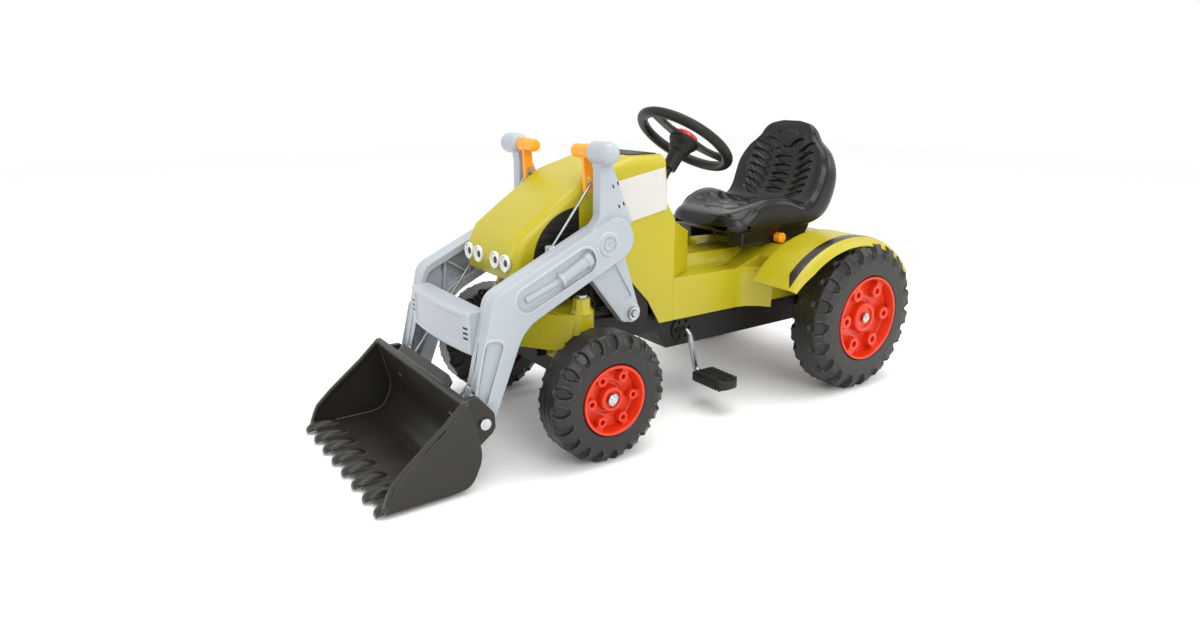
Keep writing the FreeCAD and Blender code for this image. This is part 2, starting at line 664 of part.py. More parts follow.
# Loop of straight runs and arcs that touches two wheels in the side view.
def belt_face(x_one, z_one, r_one, x_two, z_two, r_two, y):
    centre_one = Vector(x_one, y, z_one)
    centre_two = Vector(x_two, y, z_two)
    along = centre_two - centre_one
    swing = math.acos((r_one - r_two) / along.Length)
    heading = math.atan2(along.z, along.x)

    def rim_point(centre, radius, turn):
        return centre + Vector(math.cos(heading + turn), 0, math.sin(heading + turn)) * radius

    ends = [(rim_point(centre_one, r_one, turn), rim_point(centre_two, r_two, turn))
            for turn in (swing, -swing)]
    edges = [Part.LineSegment(*ends[0]).toShape(), Part.LineSegment(*ends[1]).toShape(),
             Part.Arc(ends[0][0], rim_point(centre_one, r_one, math.pi), ends[1][0]).toShape(),
             Part.Arc(ends[0][1], rim_point(centre_two, r_two, 0), ends[1][1]).toShape()]
    return Part.Face(Part.Wire(Part.__sortEdges__(edges)))


# Toothed disc: the tip circle is the given radius.
def sprocket(label, x, z, radius, bore):
    teeth = round(radius * 0.5)
    spots = []
    for step in range(teeth * 4):
        turn = math.pi * 2 * step / (teeth * 4)
        reach = radius if step % 4 < 2 else radius - size("tooth_depth")
        spots.append(Vector(x + reach * math.cos(turn), 0, z + reach * math.sin(turn)))
    face = Part.Face(Part.makePolygon(spots + spots[:1]))
    thick = size("sprocket_wall")
    disc = face.extrude(Vector(0, thick, 0))
    hub = Part.makeCylinder(bore * 2.2, thick * 3, Vector(x, -thick, z), Vector(0, 1, 0))
    hole = Part.makeCylinder(bore, thick * 5, Vector(x, -2 * thick, z), Vector(0, 1, 0))
    item = free_form(label, disc.fuse(hub).cut(hole))
    return node(place(item, y="chain_y - sprocket_wall / 2"), label)


# Drive: bent crank with two pedals, sprockets and chain, rear axle.
def drive():
    pin_end = size("crank_y + pedal_length + pin_end")
    points = []
    for side, stations in ((1, (pin_end, size("crank_y"))), (-1, (size("crank_y"), pin_end))):
        x, z = crank_arm(side, size("crank_throw"))
        arm = [Vector(x, side * stations[0], z), Vector(x, side * stations[1], z)]
        axis = Vector(size("crank_x"), side * size("crank_y"), size("crank_z"))
        points += arm + [axis] if side > 0 else [axis] + arm
    node(bent_rod("crank_rod", points, size("axle_radius"), size("crank_bend")), "crankshaft")
    for name, side in SIDES:
        x, z = crank_arm(side, size("crank_throw"))
        label = "pedal_" + name
        body = new_body(label, x=x, y=f"{side} * (crank_y + crank_bend + axle_radius / 2)", z=z)
        plan = new_sketch(body, "XY_Plane", label + "_plan")
        end = f"{side} * pedal_length"
        draw_outline(plan, (
            ("-pedal_half", "0"), ("pedal_half", "0"), ("pedal_half", f"{end} * 0.7"),
            ("pedal_half * 0.55", end), ("-pedal_half * 0.55", end), ("-pedal_half", f"{end} * 0.7")))
        extrude(body, "Pad", plan, "pedal_wall", both=True)
        bore = new_sketch(body, "XZ_Plane", label + "_bore")
        draw_circle(bore, "0", "0", "axle_radius + running_gap")
        extrude(body, "Pocket", bore, None, both=True)
        node(body, label)
    bore = size("axle_radius + running_gap / 4")
    sprocket("crank_sprocket", size("crank_x"), size("crank_z"), size("crank_sprocket_radius"), bore)
    sprocket("rear_sprocket", size("rear_axle_x"), size("rear_radius"), size("rear_sprocket_radius"), bore)
    gap = size("moving_gap")
    ends = [(size("crank_x"), size("crank_z"), size("crank_sprocket_radius") + gap),
            (size("rear_axle_x"), size("rear_radius"), size("rear_sprocket_radius") + gap)]
    low = size("chain_y - chain_width / 2")
    wall = size("chain_wall")
    outer = belt_face(*ends[0][:2], ends[0][2] + wall, *ends[1][:2], ends[1][2] + wall, low)
    inner = belt_face(*ends[0], *ends[1], low)
    node(free_form("chain_loop", outer.cut(inner).extrude(Vector(0, size("chain_width"), 0))), "drive_chain")
    reach = "rear_face - rim_lip + seat_gap"
    node(rod("axle_rod", "axle_radius", f"2 * ({reach})", "rear_axle_x", f"-({reach})", "rear_radius", "+y"),
         "rear_axle")
    caps = [axle_cap(f"rear_{name}_cap", "rear_axle_x", f"{side} * ({reach} + seat_gap / 2)",
                     "rear_radius", side) for name, side in SIDES]
    node(group("rear_cap_pair", caps), "rear_axle_caps")


# Domed push-on cap at the end of an axle.
def axle_cap(label, x, y, z, side):
    along = "+y" if side > 0 else "-y"
    disc = rod(label + "_disc", "cap_radius", "cap_height / 2", x, y, z, along)
    dome = cone(label + "_dome", "cap_radius", "cap_radius / 2", "cap_height / 2", x,
                f"{y} + {side} * cap_height / 2", z, along)
    return fuse(label, [disc, dome])


# Outline of the axle beam in plan, narrowed round the kingpins so that the tyres can turn past it.
def beam_plan(half):
    quarter = ((half, "kingpin_y - 22"), (f"{half} * 0.78", "kingpin_y - 2"),
               (f"{half} * 0.36", "kingpin_y + 16"))
    left = [(u, v) for u, v in quarter] + [(f"-{u}", v) for u, v in reversed(quarter)]
    return [(f"front_x + ({u})", v) for u, v in left] + \
           [(f"front_x - ({u})", f"-({v})") for u, v in left]


# Front axle: beam under the carrier, cover with kingpin towers over it, and steered knuckles.
def front_axle():
    beam = new_body("beam_block", z="beam_low")
    plan = new_sketch(beam, "XY_Plane", "beam_plan")
    draw_outline(plan, beam_plan("cover_half"))
    extrude(beam, "Pad", plan, "carrier_floor - seat_gap - beam_low")
    cover = new_body("cover_block", z="carrier_floor")
    plan = new_sketch(cover, "XY_Plane", "cover_plan")
    draw_outline(plan, beam_plan("cover_half"))
    extrude(cover, "Pad", plan, "cover_top - carrier_floor")
    channel = box("carrier_channel", f"front_x - 2 * cover_half", f"front_x + 2 * cover_half",
                  "-frame_half - seat_gap", "frame_half + seat_gap",
                  "carrier_floor - 1", "frame_top + seat_gap")
    towers = []
    bores = []
    for name, side in SIDES:
        y = f"{side} * kingpin_y"
        rise = "(tower_top - cover_top)"
        towers.append(cone(f"tower_{name}_foot", "kingpin_radius * 3", "kingpin_radius * 1.8",
                           f"{rise} * 0.6", "front_x", y, "cover_top"))
        towers.append(cone(f"tower_{name}_cup", "kingpin_radius * 1.8", "kingpin_radius * 2.6",
                           f"{rise} * 0.4", "front_x", y, f"cover_top + {rise} * 0.6"))
        bores.append(rod(f"kingpin_{name}_bore", "kingpin_radius + running_gap", "tower_top",
                         "front_x", y, "0"))
    node(cut("beam_bored", beam, bores), "axle_beam")
    node(cut("cover_bored", fuse("cover_towers", [cover] + towers), [channel] + bores), "axle_cover")
    for name, side in SIDES:
        knuckle(name, side)
    tie_rod()


def knuckle(name, side):
    y = f"{side} * kingpin_y"
    low = "(tie_z + tie_wall / 2 + moving_gap)"
    along = "+y" if side > 0 else "-y"
    barrel = rod(f"knuckle_{name}_barrel", "knuckle_radius", f"beam_low - moving_gap - {low}",
                 "front_x", y, low)
    arm = box(f"knuckle_{name}_arm", "tie_x", "front_x", f"{y} - steer_arm_wall",
              f"{y} + steer_arm_wall", low, f"{low} + steer_arm_wall")
    eye = rod(f"knuckle_{name}_eye", "steer_arm_wall", "steer_arm_wall", "tie_x", y, low)
    shank = rod(f"knuckle_{name}_shank", "axle_radius * 2", "front_clear + rim_lip - moving_gap",
                "front_x", y, "front_radius", along)
    tools = [rod(f"knuckle_{name}_king", "kingpin_radius + running_gap / 4", "front_radius * 2",
                 "front_x", y, "0"),
             rod(f"knuckle_{name}_stub", "axle_radius + running_gap / 4", "front_face", "front_x",
                 f"{y} + {side} * (kingpin_radius + 2)", "front_radius", along)]
    if side > 0:
        tools.append(rod("tie_pin_seat", "tie_wall / 2 + running_gap / 4", "front_radius",
                         "tie_x", y, "0"))
    else:
        tools.append(rod("tie_open_seat", "tie_wall / 2 + moving_gap", "front_radius",
                         "tie_x", y, "0"))
    block = fuse(f"knuckle_{name}_block", [barrel, arm, eye, shank])
    node(cut(f"knuckle_{name}_bored", block, tools), f"knuckle_{name}")
    shaft = rod(f"kingpin_{name}_shaft", "kingpin_radius", f"tower_top + 1 - {low}", "front_x", y, low)
    head = rod(f"kingpin_{name}_head", "kingpin_radius * 1.7", "kingpin_radius", "front_x", y,
               "tower_top + moving_gap / 2")
    node(fuse(f"kingpin_{name}_bolt", [shaft, head]), f"kingpin_{name}")
    stub_end = "(front_face - rim_lip + seat_gap)"
    node(rod(f"stub_{name}", "axle_radius", f"{stub_end} - kingpin_y - kingpin_radius - 2", "front_x",
             f"{y} + {side} * (kingpin_radius + 2)", "front_radius", along),
         f"stub_axle_{name}")
    node(axle_cap(f"front_{name}_cap_block", "front_x", f"{side} * ({stub_end} + seat_gap / 2)",
                  "front_radius", side), f"front_{name}_cap")


# Tie rod: a flat bar with a pin at each end and a slot for the drop arm's pin.
def tie_rod():
    bar = box("tie_bar", "tie_x - tie_wall", "tie_x + tie_wall", "-kingpin_y", "kingpin_y",
              "tie_z - tie_wall / 2", "tie_z + tie_wall / 2")
    plate = box("tie_plate", "tie_x - 4 * tie_wall", "tie_x + 4 * tie_wall", "-3 * tie_wall", "3 * tie_wall",
                "tie_z - tie_wall / 2", "tie_z + tie_wall / 2")
    pins = []
    for name, side in SIDES:
        pins.append(rod(f"tie_{name}_end", "steer_arm_wall", "tie_wall", "tie_x", f"{side} * kingpin_y",
                        "tie_z - tie_wall / 2"))
        pins.append(rod(f"tie_{name}_pin", "tie_wall / 2", "tie_wall + moving_gap + steer_arm_wall", "tie_x",
                        f"{side} * kingpin_y", "tie_z - tie_wall / 2"))
    slot = box("tie_slot", "tie_x - 3 * tie_wall", "tie_x + 3 * tie_wall", "-column_radius", "column_radius",
               "tie_z - tie_wall", "tie_z + tie_wall")
    node(cut("tie_slotted", fuse("tie_bar_pins", [bar, plate] + pins), [slot]), "tie_rod")


# Steering: wheel with three spokes, horn button, and a column with a drop arm.
def steering():
    ring = doc.addObject("Part::Torus", "wheel_torus")
    bind(ring, "Radius1", "wheel_ring")
    bind(ring, "Radius2", "wheel_grip")
    floor = "-horn_sink - horn_travel"
    hub = rod("wheel_hub", "horn_radius + wheel_grip", "hub_depth", "0", "0", f"{floor} - moving_gap")
    neck = cone("wheel_neck", "column_radius * 1.6", "horn_radius + wheel_grip", "hub_depth", "0", "0",
                f"{floor} - moving_gap - hub_depth")
    spokes = []
    for step, turn in enumerate((0, 130, 230)):
        spoke = box(f"wheel_spoke_{step}", "0", "wheel_ring", "0", "2 * spoke_half", "-spoke_wall", "0")
        place(spoke, x=f"spoke_half * sin({turn} deg)", y=f"-spoke_half * cos({turn} deg)", z="-spoke_wall",
              axis=(0, 0, 1), angle=turn)
        spokes.append(spoke)
    well = rod("horn_well", "horn_radius + moving_gap", "hub_depth", "0", "0", floor)
    bore = rod("wheel_bore", "column_radius + running_gap / 4", "4 * hub_depth", "0", "0", "-4 * hub_depth")
    wheel = cut("wheel_bored", fuse("wheel_spoked", [ring, hub, neck] + spokes), [well, bore])
    node(tilt_about_wheel(wheel), "steering_wheel")
    horn = rod("horn_disc", "horn_radius", "horn_height", "0", "0", "0")
    node(tilt_about_wheel(horn, "-horn_sink"), "horn_button")
    shaft = rod("column_shaft", "column_radius", f"column_length + ({floor}) - moving_gap",
                "0", "0", "-column_length")
    arm = box("drop_arm_bar", "-drop_arm", "0", "-column_radius", "column_radius",
              "column_radius - column_length", "2 * column_radius - column_length")
    pin = rod("drop_pin", "column_radius * 0.6", "4 * column_radius",
              "-drop_arm", "0", "-2 * column_radius - column_length")
    node(tilt_about_wheel(fuse("column_cranked", [shaft, arm, pin])), "steering_column")


# Straight round bar between two places of the side view.
def strut(label, radius, start, end, y):
    spots = [Vector(size(x), size(y), size(z)) for x, z in (start, end)]
    item = doc.addObject("Part::Cylinder", label)
    bind(item, "Radius", radius)
    item.Height = (spots[1] - spots[0]).Length
    item.Placement = FreeCAD.Placement(spots[0], FreeCAD.Rotation(Vector(0, 0, 1), spots[1] - spots[0]))
    return item


# Edge that runs across the tractor through a place of the side view.
def across_at(x, z):
    spot = (size(x), size(z))

    def picks(edge):
        return all(abs(v.X - spot[0]) < 0.01 and abs(v.Z - spot[1]) < 0.01 for v in edge.Vertexes)
    return picks


# Upper outline of the hood in the side view, moved inwards by a wall.
def hood_top_line(wall):
    return (
        (f"hood_rear + {wall}", "hood_top - 1.35 * cowl_drop"),
        (f"hood_rear + cowl_lean * 0.75 + {wall}", "hood_top - cowl_drop"),
        (f"hood_rear + cowl_lean + {wall}", f"hood_top - {wall}"),
        ("hood_rear + cowl_lean + 76", f"hood_top - {wall}"),
        ("hood_rear + 206", f"hood_top - 29 - {wall}"),
        (f"hood_rear + 290 - {wall} / 2", f"hood_top - 84 - {wall}"),
        (f"nose_x - 18 - {wall}", f"hood_top - 126 - {wall}"),
        (f"nose_x - {wall}", f"hood_top - 162 - {wall}"),
        (f"nose_x - {wall}", "nose_low + 18"), (f"nose_x - 10 - {wall}", "nose_low"))


def hood_block(label, wall, low_points):
    body = cross_bar(label, list(hood_top_line(wall)) + low_points, f"2 * (body_half - {wall})")
    half = size(f"body_half - {wall}")
    floor = size("nose_low + 30")

    def picks(edge):
        ends = edge.Vertexes
        middle = edge.CenterOfMass
        return (all(abs(abs(v.Y) - half) < 0.01 for v in ends) and abs(ends[0].Y - ends[1].Y) < 0.01
                and middle.z > floor and middle.x > size("hood_rear + cowl_lean") + 10)
    round_edges(body, f"hood_round - {wall} * 0.9", picks, label + "_rounds")
    return body


# Console behind the hood: it narrows in plan and slopes down to the tunnel of the tub.
def console():
    foot = "step_z + 3 + seat_gap"
    side_view = cross_bar("console_side_view", (
        ("hood_rear + 1", foot), ("console_rear", foot), ("console_rear", "tunnel_top + 55"),
        ("hood_rear + 1", "hood_top - 1.4 * cowl_drop")), "2 * body_half")
    plan_view = new_body("console_plan_view", z="step_z")
    sketch = new_sketch(plan_view, "XY_Plane", "console_plan")
    draw_outline(sketch, (
        ("hood_rear + 1", "body_half - 1"), ("console_rear", "console_half"),
        ("console_rear", "-console_half"), ("hood_rear + 1", "1 - body_half")))
    extrude(plan_view, "Pad", sketch, "hood_top - step_z")
    form = doc.addObject("Part::Common", "console_form")
    form.Base = side_view
    form.Tool = plan_view
    inside = box("console_inside", "console_rear + body_wall", "hood_rear", "body_wall - console_half",
                 "console_half - body_wall", "step_z", "tunnel_top + 40")
    return cut("console_hollow", form, [inside])


# Yellow hood: a hollow shell with its lower rear corner reaching down beside the chassis.
def hood():
    outer = hood_block("hood_skin", "0", [
        ("hood_rear + 150", "nose_low + 16"), ("hood_rear + 66", "frame_top + 35"),
        ("hood_rear + 35", "skirt_low"), ("hood_rear", "skirt_low")])
    inner = hood_block("hood_inside", "body_wall", [
        ("nose_x - 10 - body_wall", "skirt_low - 1"), ("hood_rear + body_wall", "skirt_low - 1")])
    sill = box("hood_sill", "hood_rear - 1", "hood_rear + 2 * body_wall", "body_wall - body_half",
               "body_half - body_wall", "skirt_low - 1", "frame_top")
    passage = rod("hood_passage", "column_radius + moving_gap * 3", "column_length", "0", "0", "0")
    tilt_about_wheel(passage, "-column_length")
    middle = "(engine_rear + engine_front) / 2"
    rib = box("hood_rib", middle, f"{middle} + body_wall", "body_wall - body_half", "body_half - body_wall",
              "engine_top + seat_gap", "engine_top + 60")
    shell = cut("hood_hollow", outer, [inner, sill])
    node(cut("hood_open", fuse("hood_ribbed", [shell, rib, console()]), [passage]), "hood")


# Yellow tub: skirts beside the chassis, a ledge with a tunnel between foot wells, and the seat deck.
def tub():
    back = "frame_rear"
    front = "hood_rear - seat_gap"
    skirt_end = "deck_front + flare_length / 3"
    ramp = (("deck_front + 100", "step_z"), (skirt_end, "deck_z - 22"), ("deck_front", "deck_z"))
    core = cross_bar("tub_core", [(front, "skirt_low"), (front, "step_z + 3"), *ramp, (back, "deck_z"),
                                  (back, "frame_top"), (skirt_end, "frame_top"), (skirt_end, "skirt_low")],
                     "2 * body_half")
    deck = cross_bar("tub_deck", [(skirt_end, "frame_top"), *ramp[1:], (back, "deck_z"), (back, "frame_top")],
                     "2 * deck_half")
    flare = new_body("tub_flare", z="skirt_low")
    plan = new_sketch(flare, "XY_Plane", "tub_flare_plan")
    curve = [("deck_front + flare_length", "body_half - 1"),
             ("deck_front + flare_length * 0.73", "body_half + deck_flare * 0.12"),
             ("deck_front + flare_length * 0.5", "body_half + deck_flare * 0.47"), (skirt_end, "deck_half")]
    draw_outline(plan, curve + [(x, f"-({y})") for x, y in reversed(curve)])
    extrude(flare, "Pad", plan, "step_z - skirt_low")
    tunnel = new_body("tub_tunnel", x=skirt_end)
    section = new_sketch(tunnel, "YZ_Plane", "tub_tunnel_section")
    draw_outline(section, (
        ("-tunnel_half", "step_z - body_wall"), ("tunnel_half", "step_z - body_wall"),
        ("tunnel_half", "step_z + tunnel_rise / 3"), ("tunnel_half * 0.8", "tunnel_top"),
        ("-tunnel_half * 0.8", "tunnel_top"), ("-tunnel_half", "step_z + tunnel_rise / 3")))
    extrude(tunnel, "Pad", section, f"console_rear - seat_gap - ({skirt_end})")
    low = "skirt_low - 1"
    side = "(body_half - body_wall)"
    bays = [
        box("tub_bay_front", "deck_front + flare_length + body_wall", f"{front} - body_wall",
            f"-{side}", side, low, "step_z - body_wall"),
        box("tub_bay_middle", "deck_front + body_wall", "deck_front + flare_length",
            f"-{side}", side, low, "step_z - 2 * body_wall"),
        box("tub_bay_deck", f"{back} + body_wall", "deck_front", "body_wall - deck_half",
            "deck_half - body_wall", low, "deck_z - body_wall"),
        box("tub_bay_sill", f"{back} - 1", f"{front} + 1", f"-{side}", side, low, "frame_top")]
    node(cut("tub_hollow", fuse("tub_solid", [core, deck, flare, tunnel]), bays), "tub")


# Point of the fender's arch, given as an angle from straight ahead, a wall's depth inside it.
def arch_point(turn, depth):
    turn = math.radians(turn)
    x = size("fender_x") + (size("fender_long") - depth) * math.cos(turn)
    z = size("fender_z") + (size("fender_rise") - depth) * math.sin(turn)
    return Vector(x, 0, z)


def arch_edge(start, end, depth):
    ellipse = Part.Ellipse(Vector(), size("fender_long") - depth, size("fender_rise") - depth)
    edge = Part.ArcOfEllipse(ellipse, math.radians(start), math.radians(end)).toShape()
    edge.rotate(Vector(), Vector(1, 0, 0), 90)
    edge.translate(Vector(size("fender_x"), 0, size("fender_z")))
    return edge


# Yellow fenders: an arched top over the tyre and an inner web against the seat deck.
def fenders():
    wall = size("fender_wall")
    front_end = size("fender_front")
    rear_end = size("fender_rear")
    band = [arch_edge(front_end, rear_end, 0), arch_edge(front_end, rear_end, wall)]
    for turn in (front_end, rear_end):
        band.append(Part.LineSegment(arch_point(turn, 0), arch_point(turn, wall)).toShape())
    arch = Part.Face(Part.Wire(Part.__sortEdges__(band)))
    chord = Part.LineSegment(arch_point(front_end, wall / 2), arch_point(rear_end, wall / 2)).toShape()
    web = Part.Face(Part.Wire(Part.__sortEdges__([arch_edge(front_end, rear_end, wall / 2), chord])))
    for name, side in SIDES:
        width = size("fender_out - deck_half - seat_gap")
        solid = arch.extrude(Vector(0, side * width, 0)).fuse(web.extrude(Vector(0, side * wall, 0)))
        item = free_form(f"fender_{name}_arch", solid.removeSplitter())
        node(place(item, y=f"{side} * (deck_half + seat_gap)"), f"fender_{name}")


# Trim on the hood: white side panels, quarter-round grilles, headlamps and dash.
def trim():
    for name, side in SIDES:
        panel = side_plate(f"side_panel_{name}", side, (
            ("hood_rear + 142", "hood_top - 44"), ("hood_rear + cowl_lean + 2", "hood_top - 24"),
            ("hood_rear + cowl_lean * 0.75 + 2", "hood_top - cowl_drop"),
            ("hood_rear + cowl_lean * 0.75 + 2", "hood_top - 106"),
            ("hood_rear + 150", "hood_top - 130"), ("hood_rear + 158", "hood_top - 80")),
            "body_half", "body_half + trim_wall")
        node(panel, f"side_panel_{name}")
        disc = rod(f"grille_{name}_disc", "grille_radius", "trim_wall", "0", "0", "0")
        disc.Angle = 90
        disc.Placement = FreeCAD.Placement(Vector(), FreeCAD.Rotation(Vector(1, 0, 0), 90))
        outer_face = "body_half + trim_wall" if side > 0 else "-body_half"
        place(disc, x="nose_x - 41 - grille_radius", y=outer_face, z="nose_low + 31")
        slots = [box(f"grille_{name}_slot_{step}", "nose_x - 33 - grille_radius", "nose_x - 33",
                     f"{side} * (body_half + trim_wall) - trim_wall / 2",
                     f"{side} * (body_half + trim_wall) + trim_wall / 2",
                     f"nose_low + 40 + {step} * grille_radius / (grille_bars + 1)",
                     f"nose_low + 40 + grille_slot + {step} * grille_radius / (grille_bars + 1)")
                 for step in range(round(size("grille_bars")))]
        node(cut(f"grille_{name}_slotted", disc, slots), f"side_grille_{name}")
    lamps = []
    for name, side in SIDES:
        for spot in ("inner", "outer"):
            lamps.append(rod(f"lamp_{name}_{spot}", "lamp_radius", "3 * trim_wall", "nose_x",
                             f"{side} * lamp_{spot}", "lamp_z", "+x"))
    node(group("lamp_set", lamps), "headlamps")
    node(box("dash_plate", "hood_rear + cowl_lean + 8", "hood_rear + cowl_lean + 72",
             "hood_round - body_half", "body_half - hood_round", "hood_top", "hood_top + trim_wall"),
         "dash_panel")


# Black engine block between hood and carrier, with ribbed sides and the loader's pivot bosses.
def engine():
    block = box("engine_core", "engine_rear", "engine_front", "-engine_half", "engine_half",
                "frame_top", "engine_top")
    parts = [block]
    bores = []
    bolts = []
    for name, side in SIDES:
        along = "+y" if side > 0 else "-y"
        parts.append(rod(f"pivot_{name}_boss", "eye_radius", "leg_in - moving_gap - engine_half", "lift_x",
                         f"{side} * engine_half", "lift_z", along))
        for step in range(round(size("barrel_count"))):
            x = f"engine_front - 2 * barrel_radius - {step} * barrel_pitch"
            parts.append(rod(f"engine_{name}_barrel_{step}", "barrel_radius", "barrel_height", x,
                             f"{side} * (engine_half - barrel_radius / 3)", "engine_top - barrel_height - 4"))
        bores.append(rod(f"pivot_{name}_bore", "lift_bolt + running_gap / 4", "leg_in", "lift_x",
                         f"{side} * engine_half / 2", "lift_z", along))
        shaft = rod(f"lift_{name}_shaft", "lift_bolt", "leg_out + moving_gap + 1 - engine_half / 2", "lift_x",
                    f"{side} * engine_half / 2", "lift_z", along)
        head = rod(f"lift_{name}_head", "lift_bolt * 2", "lift_bolt", "lift_x",
                   f"{side} * (leg_out + moving_gap)", "lift_z", along)
        bolts.append(fuse(f"lift_{name}_bolt", [shaft, head]))
    tunnel = box("engine_tunnel", "engine_rear - 1", "engine_front - 40", "-2 * column_radius",
                 "2 * column_radius", "frame_top - 1", "engine_top + 1")
    node(cut("engine_bored", fuse("engine_detail", parts), [tunnel] + bores), "engine_block")
    node(group("lift_bolt_pair", bolts), "lift_bolts")


# Section across the seat from its underside to its bolsters, dished between them.
def seat_section(under, top, half, dish):
    up = (top - under).normalize()
    tall = under.distanceToPoint(top)
    corner = min(size("seat_corner"), tall / 3)
    bend = corner * (1 - math.sqrt(0.5))
    dish_half = min(size("seat_half - seat_bolster"), half - 2 * corner)

    def spot(across, height):
        return under + Vector(0, across, 0) + up * height

    edges = [Part.LineSegment(spot(corner - half, 0), spot(half - corner, 0)).toShape()]
    for name, side in SIDES:
        low = [spot(side * across, height) for across, height in (
            (half - corner, 0), (half - bend, bend), (half, corner))]
        high = [spot(side * across, height) for across, height in (
            (half, tall - corner), (half - bend, tall - bend), (half - corner, tall))]
        edges.append(Part.Arc(*low).toShape())
        edges.append(Part.LineSegment(low[-1], high[0]).toShape())
        edges.append(Part.Arc(*high).toShape())
        edges.append(Part.LineSegment(high[-1], spot(side * dish_half, tall - dish)).toShape())
    edges.append(Part.LineSegment(spot(dish_half, tall - dish), spot(-dish_half, tall - dish)).toShape())
    return Part.Wire(Part.__sortEdges__(edges))


# Black seat: a dished skin drawn through sections from the front lip round the bend to the head,
# on a base that slides along a rail.
def seat():
    # each section: ahead of the seat's back and above its underside for the lower and the upper edge,
    # then what its half width loses, and its share of the dish
    pan = "seat_length"
    stations = (
        (f"{pan} - 2", "20", f"{pan} - 1", "36", "63", 0),
        (f"{pan} - 14", "6", f"{pan} - 8", "47", "49", 0),
        (f"{pan} - 47", "1", f"{pan} - 42", "53", "31", 0.5),
        (f"{pan} - 102", "-1", f"{pan} - 98", "60", "18", 0.8),
        (f"{pan} - 162", "-1", f"{pan} - 156", "64", "9", 1),
        ("126", "-1", "142", "62", "4", 1),
        ("76", "8", "118", "66", "2", 1),
        ("34", "36", "102", "80", "1", 1),
        ("8", "80", "90", "106", "0", 1),
        ("2", "118", "79", "132", "6", 0.9),
        ("5", "seat_rise - 62", "68", "seat_rise - 53", "28", 0.6),
        ("12", "seat_rise - 36", "59", "seat_rise - 30", "seat_half - head_half - 12", 0.2),
        ("20", "seat_rise - 14", "52", "seat_rise - 11", "seat_half - head_half", 0),
        ("30", "seat_rise - 1", "46", "seat_rise - 1", "seat_half - head_half + 20", 0))
    wires = []
    for under_x, under_z, top_x, top_z, loss, share in stations:
        under = Vector(size(f"seat_back + {under_x}"), 0, size(f"seat_low + {under_z}"))
        top = Vector(size(f"seat_back + {top_x}"), 0, size(f"seat_low + {top_z}"))
        wires.append(seat_section(under, top, size(f"seat_half - ({loss})"), share * size("seat_dish")))
    skin = free_form("seat_skin", Part.makeLoft(wires, True))
    below = box("seat_below", "seat_back - 10", "seat_front + 10", "-2 * seat_half", "2 * seat_half",
                "seat_low - seat_corner", "seat_low")
    node(cut("seat_flat", skin, [below]), "seat_shell")
    web = box("rail_web_bar", "rail_rear", "rail_front", "-rail_web", "rail_web", "deck_z", "rail_top")
    flange = box("rail_flange_bar", "rail_rear", "rail_front", "-rail_flange", "rail_flange",
                 "rail_top - rail_plate", "rail_top")
    node(fuse("rail_section", [web, flange]), "seat_rail")
    block = box("base_block", "base_rear", "base_front", "-base_half", "base_half",
                "deck_z + moving_gap", "seat_low")
    ends = ("base_rear - 1", "base_front + 1")
    slide = "moving_gap / 2"
    slots = [box("base_web_slot", *ends, f"-rail_web - {slide}", f"rail_web + {slide}",
                 "deck_z - 1", "rail_top"),
             box("base_flange_slot", *ends, f"-rail_flange - {slide}", f"rail_flange + {slide}",
                 f"rail_top - rail_plate - {slide}", f"rail_top + {slide}"),
             rod("base_knob_bore", "knob_stud + running_gap", "base_half",
                 "knob_x", "rail_flange", "knob_z", "+y"),
             box("base_front_mouth", "base_front - base_mouth", "base_front + 1", "base_cheek - base_half",
                 "base_half - base_cheek", "deck_z - 1", "seat_low + 1")]
    node(cut("base_slotted", block, slots), "seat_base")
    stud = rod("knob_screw_stud", "knob_stud", "base_half - rail_flange",
               "knob_x", "rail_flange + 2 * moving_gap", "knob_z", "+y")
    head = rod("knob_head", "knob_radius", "knob_length", "knob_x", "base_half + moving_gap", "knob_z", "+y")
    node(fuse("knob_screw", [stud, head]), "seat_knob")


